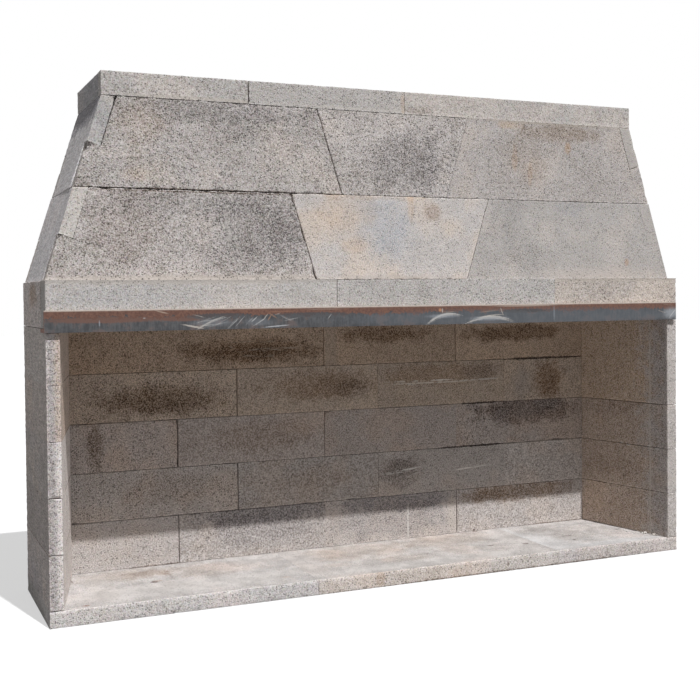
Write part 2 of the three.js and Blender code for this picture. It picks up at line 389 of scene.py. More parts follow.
def nearestOnEdges(points, segments):
    distance = np.full(len(points), 1e9)
    foot = np.zeros_like(points)
    factor = np.ones(len(points))
    for start, end, amount in segments:
        run = end - start
        share = np.clip(((points - start) @ run) / (run @ run), 0, 1)
        place = start + share[:, None] * run
        gap = np.linalg.norm(points - place, axis=1)
        closer = gap < distance
        distance[closer], foot[closer], factor[closer] = gap[closer], place[closer], amount
    return distance, foot, factor


# How far an edge has gone at a place along it: rubbed, crumbled, and chipped here and there
def edgeDepth(place, seed):
    spot = Vector(place)
    crumbled = max(0.0, noise.noise(spot / finish["crumbleSize"] + seed))
    chipped = max(0.0, noise.noise(spot / finish["chipSize"] - seed) - finish["chipShare"])
    chipped = min(1.0, chipped * (1 - finish["chipShare"]) * 4)
    return finish["edgeLoss"] + finish["crumble"] * crumbled + finish["chip"] * chipped


def weigh(block, name, weights):
    group = block.vertex_groups.new(name=name)
    count = finish["weightSteps"]
    steps = np.round(np.clip(weights, 0, 1) * count).astype(int)
    for step in range(1, count + 1):
        members = np.nonzero(steps == step)[0].tolist()
        if members:
            group.add(members, step / count, "REPLACE")


def grainTexture(name, size, depth=1, contrast=1.0):
    texture = bpy.data.textures.new(name, "CLOUDS")
    texture.noise_scale = size
    texture.noise_depth = depth
    texture.contrast = contrast
    return texture


castTextures = dict(
    swell=grainTexture("castSwell", 0.11),
    pores=grainTexture("castPores", 0.010, 1, 2.2),
)


def pressIn(block, name, strength, group, texture=None):
    modifier = block.modifiers.new(name, "DISPLACE")
    if texture:
        modifier.texture = texture
        modifier.texture_coords = "LOCAL"
    modifier.direction = "NORMAL"
    modifier.mid_level = 0
    modifier.strength = -strength
    modifier.vertex_group = group
    bpy.ops.object.modifier_apply(modifier=name)


def edgeFactor(edge, low, high, wear):
    start, end = (vert.co for vert in edge.verts)
    middle, run = (start + end) / 2, end - start
    if abs(run.z) > run.length / 2:
        if wear["isSideWall"]:
            return wear["left" if middle.y < (low.y + high.y) / 2 else "right"]
        return wear["left" if middle.x < (low.x + high.x) / 2 else "right"]
    fromLap = abs(middle.z - (low.z + high.z) / 2)
    if wear["lap"] is not None and fromLap < finish["aroundLap"]:
        return wear["lap"]
    factor = wear["top" if middle.z > (low.z + high.z) / 2 else "bottom"]
    return factor * (wear["depth"] if abs(run.y) > run.length / 2 else 1)


def segmentOf(edge, factor):
    return (*(np.array(vert.co) for vert in edge.verts), factor)


# Rounds the edges with a bevel, finer where they are hardly worn
def roundEdges(block, factors):
    bpy.ops.object.mode_set(mode="OBJECT")
    weights = [0.0] * len(block.data.edges)
    for index, factor in factors.items():
        weights[index] = finish["fineShare"] if factor < finish["fineBelow"] else 1.0
    attribute = block.data.attributes.new("bevel_weight_edge", "FLOAT", "EDGE")
    attribute.data.foreach_set("value", weights)
    modifier = block.modifiers.new("edges", "BEVEL")
    modifier.limit_method = "WEIGHT"
    modifier.width = finish["bevel"]
    modifier.segments = 2
    bpy.ops.object.modifier_apply(modifier="edges")
    bpy.ops.object.mode_set(mode="EDIT")


def divide(block, low, high):
    thin = min(range(3), key=lambda axis: high[axis] - low[axis])
    spacing = [finish["coarse"] if axis == thin else finish["fine"] for axis in range(3)]
    if isManySided():
        print("sliced", block.name)
        sliceEvenly(low, high, spacing)
    else:
        subdivideEvenly(spacing)
    bpy.ops.mesh.select_all(action="SELECT")
    bpy.ops.mesh.normals_make_consistent(inside=False)
    bpy.ops.object.mode_set(mode="OBJECT")


def pointsOf(block):
    points = np.empty(len(block.data.vertices) * 3)
    block.data.vertices.foreach_get("co", points)
    return points.reshape(-1, 3)


# How freely the skin of a block may be uneven: not at all where it is held by its neighbours
def looseness(block, points, low, high, tight, held, edgeDistance):
    loose = np.ones(len(points))
    for side in tight:
        axis, place = sidePlane(side, low, high)
        loose[np.abs(points[:, axis] - place) < finish["skin"]] = 0
    loose *= np.clip(nearestOnEdges(points, held)[0] / finish["heldReach"], 0, 1)
    if block.name.startswith("back_course"):  # its beds and ends stay close together inside
        for axis in (0, 2):
            fromLow, fromHigh = (np.abs(points[:, axis] - corner[axis]) for corner in (low, high))
            inJoint = np.minimum(fromLow, fromHigh) < 1e-3
            loose[inJoint & (edgeDistance > finish["jointReach"])] = 0
    return loose


# How deep each point near an edge has gone, broken corners included
def edgeLosses(low, notches, seed, distance, foot, factor):
    loss = np.zeros(len(foot))
    for index in np.nonzero(distance < finish["deepest"])[0]:
        depth = edgeDepth(foot[index], seed) * factor[index]
        for across, up, reach, deep in notches:
            if foot[index][1] > low.y + reach:
                continue
            away = math.hypot(foot[index][0] - across, foot[index][2] - up) / reach
            depth += deep * max(0.0, 1 - away * away)
        loss[index] = max(0.0, depth - distance[index])
    return loss


def castFinish(block, low, high, tight, wear, notches, pitted, seed):
    mesh = editMesh()
    mesh.normal_update()
    edges = [edge for edge in convexEdges(mesh) if not isTight(edge, low, high, tight)]
    factors = {edge: edgeFactor(edge, low, high, wear) for edge in edges}
    held = [segmentOf(edge, 0) for edge in edges if factors[edge] <= finish["tightBelow"]]
    edges = [edge for edge in edges if factors[edge] > finish["tightBelow"]]
    segments = [segmentOf(edge, factors[edge]) for edge in edges]
    roundEdges(block, {edge.index: factors[edge] for edge in edges})
    divide(block, low, high)
    points = pointsOf(block)
    distance, foot, factor = nearestOnEdges(points, segments)
    loose = looseness(block, points, low, high, tight, held, distance)
    loss = edgeLosses(low, notches, seed, distance, foot, factor)
    rim = np.clip(1 - distance / finish["rimReach"], 0, 1)
    attribute = block.data.attributes.new("rim", "FLOAT", "POINT")
    attribute.data.foreach_set("value", rim.astype(np.float32))
    weigh(block, "worn", loss * loose / finish["deepest"])
    weigh(block, "skin", loose)
    bpy.ops.object.select_all(action="DESELECT")
    block.select_set(True)
    bpy.context.view_layer.objects.active = block
    pressIn(block, "worn", finish["deepest"], "worn")
    pressIn(block, "swell", finish["swell"], "skin", castTextures["swell"])
    pressIn(block, "pores", finish["pores"] * pitted, "skin", castTextures["pores"])
    points = np.clip(pointsOf(block), np.array(low), np.array(high))
    block.data.vertices.foreach_set("co", points.reshape(-1))
    bpy.ops.object.shade_smooth_by_angle(angle=math.radians(finish["smoothAngle"]))


def blockKind(node):
    if node.startswith("side_"):
        return sideBlock
    if "keystone" in node:
        return keystone
    if node.startswith("hood") and "front" in node:
        return hoodFrontPlate
    if node.startswith("hood") and "side" in node:
        return hoodSidePlate
    if node.startswith("hood"):
        return hoodBackPlate
    return straightBlock


# Ends that stand so tight that no joint shows
tightEnds = dict(
    hood_lower_front_left=["bottom"],
    hood_lower_front_right=["bottom"],
    front_band_left=["top"],
    front_band_right=["top", "left"],
    front_band_middle=["right"],
    collar_front_right=["bottom"],
)
for course, block in ((5, 1), (3, 3), (2, 3), (1, 2)):  # and the block to the right of it
    tightEnds[f"back_course_{course}_block_{block}"] = ["right"]
    tightEnds[f"back_course_{course}_block_{block + 1}"] = ["left"]


# How worn each side of a block's face is: 1 leaves an open joint, 0.3 a fine line, 0.1 none.
# On a side wall, left is its front end and right its back end; depth scales edges that run
# from front to back, and lap the edges halfway up a hood plate.
def worn(left=0.4, right=0.4, top=0.35, bottom=0.35, depth=1.0, lap=None, isSideWall=False):
    sides = dict(left=left, right=right, top=top, bottom=bottom)
    return dict(sides, depth=depth, lap=lap, isSideWall=isSideWall)


def wallWorn(top=0.3, bottom=0.3, depth=0.25, front=0.3):
    return worn(front, 0.2, top, bottom, depth, isSideWall=True)


edgeWear = {
    "collar_front_left": worn(0.35, 0.5, 0.2, 0.3),
    "collar_front_middle": worn(0.5, 0.3, 0.15, 0.12),
    "collar_front_right": worn(0.3, 0.3, 0.15, 0.12),
    "hood_upper_front_left": worn(1.8, 0.9, 0.2, 1.2, lap=0.1),
    "hood_upper_front_keystone": worn(0.6, 0.12, 0.14, 0.3),
    "hood_upper_front_right": worn(0.12, 0.35, 0.12, 0.2, lap=0.2),
    "hood_upper_side_left": worn(0.5, 0.9, 0.3, 0.5, lap=0.1),
    "hood_lower_front_left": worn(0.2, 0.5, 1.0, 0.1, lap=0.2),
    "hood_lower_front_keystone": worn(0.5, 0.2, 0.3, 0.3),
    "hood_lower_front_right": worn(0.14, 0.1, 0.2, 0.1, lap=0.2),
    "hood_lower_side_left": worn(0.1, 0.1, 0.3, 0.1),
    "hood_lower_side_right": worn(0.1, 0.1, 0.2, 0.1),
    "front_band_left": worn(0.6, 0.35, 0.2, 0.3),
    "front_band_middle": worn(0.35, 0.1, 0.3, 0.25),
    "front_band_right": worn(0.1, 0.3, 0.1, 0.25),
    "base_slab_left": worn(0.4, 0.3, 0.4, 0.4, 0.1),
    "base_slab_middle": worn(0.3, 0.1, 0.4, 0.4, 0.1),
    "base_slab_right": worn(0.1, 0.4, 0.4, 0.4, 0.1),
}
wallWear = {  # left, right, top and bottom of each block of the back wall, by course
    1: ((0.1, 0.4, 0.6, 0.1), (0.4, 0.1, 0.6, 0.1), (0.1, 0.4, 0.3, 0.1), (0.4, 0.1, 0.25, 0.1)),
    2: ((0.1, 0.4, 0.15, 0.6), (0.4, 0.2, 0.3, 0.4), (0.2, 0.1, 0.2, 0.2), (0.1, 0.1, 0.6, 0.2)),
    3: ((0.1, 0.4, 0.6, 0.15), (0.4, 0.3, 0.25, 0.3), (0.3, 0.1, 0.25, 0.2), (0.1, 0.1, 0.2, 0.9)),
    4: ((0.1, 0.4, 0.3, 0.6), (0.4, 0.2, 0.15, 0.25), (0.2, 0.2, 0.2, 0.35), (0.2, 0.1, 0.8, 0.15)),
    5: ((0.1, 0.1, 0.2, 0.3), (0.1, 0.3, 0.2, 0.2), (0.3, 0.5, 0.2, 0.4), (0.5, 0.1, 0.2, 0.7)),
}
sideWear = dict(  # top, bottom and depth of each course of the side walls, and the front end
    left=(
        (0.15, 0.6, 0.2),
        (0.6, 0.15, 0.3),
        (0.15, 0.6, 0.15),
        (0.15, 0.15),
        (0.4, 0.15, 0.6),
        (0.4, 0.4, 0.6, 2.0),
    ),
    right=(
        (0.2, 0.3, 0.8),
        (0.3, 0.2, 0.8),
        (0.4, 0.3, 1.0),
        (0.12, 0.4, 1.0),
        (0.3, 0.12, 0.7),
        (),
    ),
)
for course, wears in wallWear.items():
    for block, wear in enumerate(wears, 1):
        edgeWear[f"back_course_{course}_block_{block}"] = worn(*wear)
for side, wears in sideWear.items():
    for course, wear in enumerate(wears, 1):
        edgeWear[f"side_{side}_course_{course}"] = wallWorn(*wear)

# Open joints, in metres: how far the ends at each side of one stand back, by course and by the
# block to its left
wallJoints = {
    (5, 2): 0.0008, (5, 3): 0.0015, (4, 1): 0.0016, (3, 1): 0.0018, (3, 2): 0.0009,
    (2, 1): 0.0014, (1, 1): 0.0012, (1, 3): 0.0014,
}
openJoints = dict(collar_front_left=(0, 0.0012), collar_front_middle=(0.0012, 0))
for course in wallWear:
    for block in range(1, 5):
        gaps = wallJoints.get((course, block - 1), 0), wallJoints.get((course, block), 0)
        openJoints[f"back_course_{course}_block_{block}"] = gaps

# Blocks that stand back from the one in front of them, in metres
setBack = dict(side_left_course_6=0.006)

# Broken corners: (x, z, reach, depth)
brokenCorners = {
    "hood_upper_front_left": [(-1.055, 1.80, 0.02, 0.006), (-1.178, 1.628, 0.032, 0.016)],
    "hood_upper_side_left": [(-1.06, 1.80, 0.02, 0.006)],
    "hood_lower_front_left": [(-1.266, 1.322, 0.022, 0.011), (-0.31, 1.185, 0.04, 0.008)],
    "hood_lower_front_keystone": [(-0.42, 1.48, 0.03, 0.006)],
    "side_left_course_1": [(-1.276, 0.247, 0.016, 0.005)],
    "back_course_1_block_1": [(-0.9315, 0.057, 0.011, 0.008), (-1.14, 0.057, 0.014, 0.003)],
    "base_slab_middle": [(-0.344, 0.012, 0.016, 0.006)],
    "back_course_3_block_3": [(-0.115, 0.63, 0.03, 0.010)],
    "back_course_5_block_4": [(0.43, 0.80, 0.03, 0.008)],
    "back_course_5_block_3": [(0.43, 0.80, 0.02, 0.006)],
}


# Shader helpers
def addNode(tree, kind, inputs=None, **settings):
    node = tree.nodes.new("ShaderNode" + kind)
    for key, value in settings.items():
        setattr(node, key, value)
    for socket, value in (inputs or {}).items():
        if isinstance(value, bpy.types.NodeSocket):
            tree.links.new(value, node.inputs[socket])
        else:
            node.inputs[socket].default_value = value
    return node


def calc(tree, operation, a, b=0.0, clamp=False):
    return addNode(tree, "Math", {0: a, 1: b}, operation=operation, use_clamp=clamp).outputs[0]


def plus(tree, a, b):
    return calc(tree, "ADD", a, b)


def minus(tree, a, b, clamp=False):
    return calc(tree, "SUBTRACT", a, b, clamp)


def times(tree, a, b, clamp=False):
    return calc(tree, "MULTIPLY", a, b, clamp)


def move(tree, operation, a, b):
    return addNode(tree, "VectorMath", {0: a, 1: b}, operation=operation).outputs[0]


def axisOf(tree, place, axis):
    return addNode(tree, "SeparateXYZ", {0: place}).outputs[axis]


def ramp(tree, value, start, end, low=0.0, high=1.0):
    sockets = {"Value": value, "From Min": start, "From Max": end, "To Min": low, "To Max": high}
    return addNode(tree, "MapRange", sockets, interpolation_type="SMOOTHSTEP").outputs[0]


def tint(tree, factor, a, b, kind="MIX"):
    node = addNode(tree, "Mix", {0: factor, 6: a, 7: b}, data_type="RGBA", blend_type=kind)
    return node.outputs[2]


def shadeBy(tree, tone, shade, factor=1.0):
    return tint(tree, factor, tone, shade, "MULTIPLY")


def startMaterial(name):
    material = bpy.data.materials.new(name)
    material.use_nodes = True
    return material, material.node_tree, material.node_tree.nodes["Principled BSDF"]


def addBump(tree, shader, height, distance, strength):
    sockets = {"Height": height, "Distance": distance, "Strength": strength}
    tree.links.new(addNode(tree, "Bump", sockets).outputs[0], shader.inputs["Normal"])


def noiseOf(tree, place, size, detail=2.0, roughness=0.5):
    sockets = {"Vector": place, "Scale": 1 / size, "Detail": detail, "Roughness": roughness}
    return addNode(tree, "TexNoise", sockets)


# Open pores: one in each cell of a Voronoi pattern, of random width, and none in some cells.
# The share of cells that have one may be a number or a pattern. Also gives the pale lip round
# each pore.
def poresOf(tree, place, size, share, width):
    cells = addNode(tree, "TexVoronoi", {"Vector": place, "Scale": 1 / size})
    chance = addNode(tree, "SeparateColor", {0: cells.outputs["Color"]}).outputs[0]
    start = minus(tree, 1.0, share)
    full = minus(tree, 1.0, times(tree, share, 0.5))
    radius = ramp(tree, chance, start, full, 0.0, width)
    depth = minus(tree, radius, cells.outputs["Distance"])
    pit = times(tree, depth, 9.0, clamp=True)
    lip = times(tree, ramp(tree, depth, -0.20, -0.02), ramp(tree, radius, 0.10, 0.30))
    return pit, minus(tree, lip, pit, clamp=True)


# Cast surfaces: the pore size in metres, the rest as shares
surfaceKeys = "pore poreShare poreDark lip speckShare speckDark grain blotch relief".split()


def surface(*values):
    return dict(zip(surfaceKeys, values))


surfaces = dict(
    rough=surface(0.0072, 0.52, 0.54, 0.10, 0.45, 0.32, 0.33, 0.30, 1.5),
    open=surface(0.0068, 0.38, 0.46, 0.08, 0.43, 0.20, 0.26, 0.19, 1.0),
    fine=surface(0.0062, 0.32, 0.40, 0.06, 0.42, 0.16, 0.21, 0.15, 0.7),
    trodden=surface(0.0064, 0.42, 0.50, 0.08, 0.43, 0.20, 0.23, 0.20, 1.0),
    sootyRough=surface(0.0070, 0.44, 0.60, 0.18, 0.45, 0.30, 0.38, 0.20, 1.0),
    sooty=surface(0.0066, 0.34, 0.48, 0.12, 0.43, 0.26, 0.39, 0.16, 0.7),
    sootySmooth=surface(0.0062, 0.26, 0.42, 0.08, 0.42, 0.22, 0.34, 0.13, 0.4),
    foot=surface(0.0068, 0.38, 0.54, 0.14, 0.42, 0.18, 0.34, 0.17, 0.6),
    smooth=surface(0.0062, 0.16, 0.34, 0.04, 0.40, 0.10, 0.16, 0.11, 0.3),
)


# What all cast faces share: sizes of the patterns in metres, the rest as shares
cast = dict(
    wobble=0.007,  # bends the pores out of round
    bend=0.006,
    grain=0.0041,
    speck=0.0080,
    cloud=0.05,
    broad=0.24,
    raggedCloud=1.3,  # how ragged the edges of stains are
    raggedSpeck=0.6,
    poreWidth=0.47,
    dirtAndShadeInPores=0.45,
    dirtAndShadeBelow=2.4,  # a stain or painted shade darker than this, as the sum of its tone, clogs the pores
    rimLift=1.08,
    bump=0.0014,
    roughness=0.95,
    specular=0.25,
)

# How much paler the front faces of these runs are than their other faces
frontLift = dict(side=1.10, base=1.19)

# Where a face lies: an axis, a place off it and one on it. Left and right count alike.
frontFace = (1, -0.262, -0.268)
sootyFace = (1, 0.240, 0.222)  # the fire has coloured only the inner face of the back wall
inside, outside, bandEnd = (0, 1.30, 1.275), (0, 1.305, 1.313), (0, 1.308, 1.3135)
plateFlank, plateFront = (1, -0.219, -0.213), (1, -0.213, -0.219)

# The outside of the left walls and plates is coarser, with a drawn-out pattern
wallFlank = (0, -1.300, -1.308)
outsidePattern = dict(size=0.0085, drawn=(1, 0.22, 1), dark=0.83, light=1.17)
frontPits = dict(size=0.0056, share=0.68, width=0.42)  # of the left walls' front faces
troddenTop = dict(pores=0.60, blots=0.09, dark=0.84, light=1.12)


def onFace(tree, place, face):
    axis, out, into = face
    return ramp(tree, axisOf(tree, place, axis), out, into)


# The stone's own colour with its grain, before stains
def stoneTone(tree, name, look, colour, warm, warmShare, place, patterns):
    grain, specks, cloud, broad = patterns
    inWarm = ramp(tree, broad, 0.62 - 0.4 * warmShare, 0.75 - 0.3 * warmShare)
    base = tint(tree, inWarm, (*colour, 1), (*warm, 1))
    isBack = name.startswith("back")
    if isBack:
        axis, out, into = sootyFace
        isClean = ramp(tree, axisOf(tree, place, axis), into, out)
        base = tint(tree, isClean, base, (*stone["side"][0], 1))
    grainTone = ramp(tree, grain, 0.34, 0.66, -look["grain"], look["grain"])
    blotches = times(tree, minus(tree, plus(tree, cloud, broad), 1.0), look["blotch"] * 2)
    share = look["speckShare"]
    speckDark = ramp(tree, specks.outputs[0], share, share - 0.11, 0, look["speckDark"])
    shade = plus(tree, plus(tree, grainTone, blotches), minus(tree, 1.06, speckDark))
    sockets = {0: minus(tree, shade, 1.0), 1: (0.93, 1.0, 1.08), 2: (1, 1, 1)}
    shade = addNode(tree, "VectorMath", sockets, operation="MULTIPLY_ADD").outputs[0]
    tone = shadeBy(tree, base, shade)  # dark grains are browner
    return tint(tree, 0.10 if isBack else 0.18, tone, specks.outputs["Color"], "OVERLAY")


def pumice(name, look, colour, warm, warmShare, patches, seed):
    material, tree, shader = startMaterial(name)
    place = addNode(tree, "TexCoord").outputs["Object"]
    own = move(tree, "ADD", place, (seed * 1.7, seed * 0.9, seed * 2.3))
    wobble = noiseOf(tree, own, cast["wobble"], 2.0).outputs["Color"]
    sockets = {0: wobble, 1: (cast["bend"],) * 3, 2: own}
    bent = addNode(tree, "VectorMath", sockets, operation="MULTIPLY_ADD").outputs[0]
    grain = noiseOf(tree, own, cast["grain"], 1.0).outputs[0]
    specks = noiseOf(tree, own, cast["speck"], 3.0, 0.7)
    cloud = noiseOf(tree, own, cast["cloud"], 4.0, 0.6).outputs[0]
    broad = noiseOf(tree, own, cast["broad"], 3.0, 0.55).outputs[0]
    ragged = times(tree, minus(tree, cloud, 0.5), cast["raggedCloud"])
    fineRagged = times(tree, minus(tree, specks.outputs[0], 0.5), cast["raggedSpeck"])
    ragged = plus(tree, ragged, fineRagged)
    if name.startswith("back"):
        patches = [limited(patch, sootyFace) for patch in patches]
    masks = [patchMask(tree, place, ragged, patch) for patch in patches]
    dense = ramp(tree, cloud, 0.60, 0.40, look["poreShare"] - 0.10, look["poreShare"] + 0.12)
    for mask, patch in zip(masks, patches):
        if patch["kind"] == "stain" and sum(patch["tone"]) < cast["dirtAndShadeBelow"]:
            dirtAndShade = (1 - sum(patch["tone"]) / 3) * cast["dirtAndShadeInPores"]
            dense = plus(tree, dense, times(tree, mask, dirtAndShade))
    pores, lips = poresOf(tree, bent, look["pore"], dense, cast["poreWidth"])
    patterns = grain, specks, cloud, broad
    tone = stoneTone(tree, name, look, colour, warm, warmShare, place, patterns)
    uneven = ramp(tree, plus(tree, grain, specks.outputs[0]), 1.15, 0.85, 0.55, 1.25)
    for mask, patch in zip(masks, patches):
        tone = layOn(tree, tone, mask, uneven, patch)
    lift = frontLift.get(name.split("_")[0])
    if lift:
        onFront = onFace(tree, place, frontFace)
        tone = shadeBy(tree, tone, ramp(tree, onFront, 0, 1, 1.0, lift))
    if name.startswith("side_left"):
        pits = poresOf(tree, bent, frontPits["size"], frontPits["share"], frontPits["width"])[0]
        pores = calc(tree, "MAXIMUM", pores, times(tree, onFront, pits))
    if "side_left" in name:
        drawn = move(tree, "MULTIPLY", own, outsidePattern["drawn"])
        drawn = noiseOf(tree, drawn, outsidePattern["size"], 3.0, 0.6).outputs[0]
        drawn = ramp(tree, drawn, 0.34, 0.66, outsidePattern["dark"], outsidePattern["light"])
        flank = wallFlank if name.startswith("side") else plateFlank
        tone = shadeBy(tree, tone, drawn, onFace(tree, place, flank))
    if name.startswith("base"):
        pores = times(tree, pores, ramp(tree, onFront, 0, 1, troddenTop["pores"], 1.0))
        blots = noiseOf(tree, own, troddenTop["blots"], 5.0, 0.65).outputs[0]
        blots = ramp(tree, blots, 0.32, 0.68, troddenTop["dark"], troddenTop["light"])
        tone = shadeBy(tree, tone, blots, minus(tree, 1.0, onFront))
    light = plus(tree, 1.0, times(tree, lips, look["lip"]))
    light = minus(tree, light, times(tree, pores, look["poreDark"]))
    tone = shadeBy(tree, tone, light)
    rim = addNode(tree, "Attribute", attribute_name="rim").outputs["Fac"]
    tone = shadeBy(tree, tone, ramp(tree, rim, 0.0, 1.0, 1.0, cast["rimLift"]))
    tree.links.new(tone, shader.inputs["Base Color"])
    relief = minus(tree, plus(tree, grain, specks.outputs[0]), pores)
    addBump(tree, shader, relief, cast["bump"], 0.5 + 0.3 * look["relief"])
    shader.inputs["Roughness"].default_value = cast["roughness"]
    shader.inputs["Specular IOR Level"].default_value = cast["specular"]
    return material


# Where a patch lies on a face: in an ellipse round a place, with a ragged soft edge. On a front
# face it may be turned, and bowed into an arch. Only names the face that it is limited to.
def patchMask(tree, place, ragged, patch):
    first, second = dict(front=(0, 2), top=(0, 1), side=(1, 2))[patch["face"]]
    centre, scale = [0.0, 0.0, 0.0], [0.0, 0.0, 0.0]
    centre[first], centre[second] = patch["at"]
    scale[first], scale[second] = 1 / patch["size"][0], 1 / patch["size"][1]
    offset = move(tree, "SUBTRACT", place, centre)
    if patch.get("turn"):
        sockets = {"Vector": offset, "Angle": patch["turn"]}
        offset = addNode(tree, "VectorRotate", sockets, rotation_type="Y_AXIS").outputs[0]
    if patch.get("bow"):
        x, y, z = addNode(tree, "SeparateXYZ", {0: offset}).outputs
        drop = times(tree, times(tree, x, x), patch["bow"])
        offset = addNode(tree, "CombineXYZ", {0: x, 1: y, 2: plus(tree, z, drop)}).outputs[0]
    scaled = move(tree, "MULTIPLY", offset, scale)
    reach = addNode(tree, "VectorMath", {0: scaled}, operation="LENGTH").outputs["Value"]
    half = patch["soft"] / 2
    mask = ramp(tree, plus(tree, reach, ragged), 1 + half, 1 - half, 0, patch["amount"])
    if patch.get("only"):
        axis, out, into = patch["only"]
        part = axisOf(tree, place, axis)
        if axis == 0:
            part = calc(tree, "ABSOLUTE", part)
        mask = times(tree, mask, ramp(tree, part, out, into))
    if patch["kind"] == "scuff":
        lines = move(tree, "MULTIPLY", offset, (patch["along"], 0, patch["across"]))
        lines = move(tree, "ADD", lines, (patch["at"][0] * 40, 0, patch["at"][1] * 90))
        lines = noiseOf(tree, lines, 1).outputs[0]
        mask = times(tree, mask, ramp(tree, lines, patch["gaps"], patch["gaps"] + 0.12))
    return mask


# A stain, and painted light or shade, multiplies the stone's colour; dust and scuffs cover it
def layOn(tree, tone, mask, uneven, patch):
    if patch["kind"] == "stain":
        return shadeBy(tree, tone, (*patch["tone"], 1), times(tree, mask, uneven, clamp=True))
    return tint(tree, mask, tone, (*patch["tone"], 1))


def stain(x, z, across, up, amount, tone, soft=0.8, face="front"):
    patch = dict(kind="stain", at=(x, z), size=(across, up), amount=amount)
    return dict(patch, tone=tone, soft=soft, face=face)


def dust(x, z, across, up, amount, tone=(0.55, 0.52, 0.49), soft=1.0, face="front"):
    return dict(stain(x, z, across, up, amount, tone, soft, face), kind="dust")


# A scuff is a stroke of thin lines: along and across say how fine they are, and gaps how
# much of the stone shows between them
scuffPale = (0.62, 0.59, 0.56)


def scuff(
    x, z, half, width, turn, amount, tone=scuffPale, bow=0.0, gaps=0.42, along=14, across=520
):
    patch = dict(stain(x, z, half, width, amount, tone, 0.9), kind="scuff")
    return dict(patch, turn=turn, bow=bow, gaps=gaps, along=along, across=across)


def limited(patch, face):
    return dict(patch, only=face)


# Stains and painted shade, as multiples of the stone's own colour
soot = (0.36, 0.28, 0.20)
brown = (0.58, 0.45, 0.33)
bluish = (0.54, 0.545, 0.575)
ashGrey = (0.56, 0.56, 0.58)
rustyTan = (1.04, 0.88, 0.73)
# dark joints, and painted shadow along the base's bottom edge
jointAndShadowBrown = (0.40, 0.33, 0.29)
jointDark = (0.20, 0.18, 0.17)
darkMark = (0.40, 0.34, 0.31)

collarJoint = boxes["collar_front_middle"][1].x
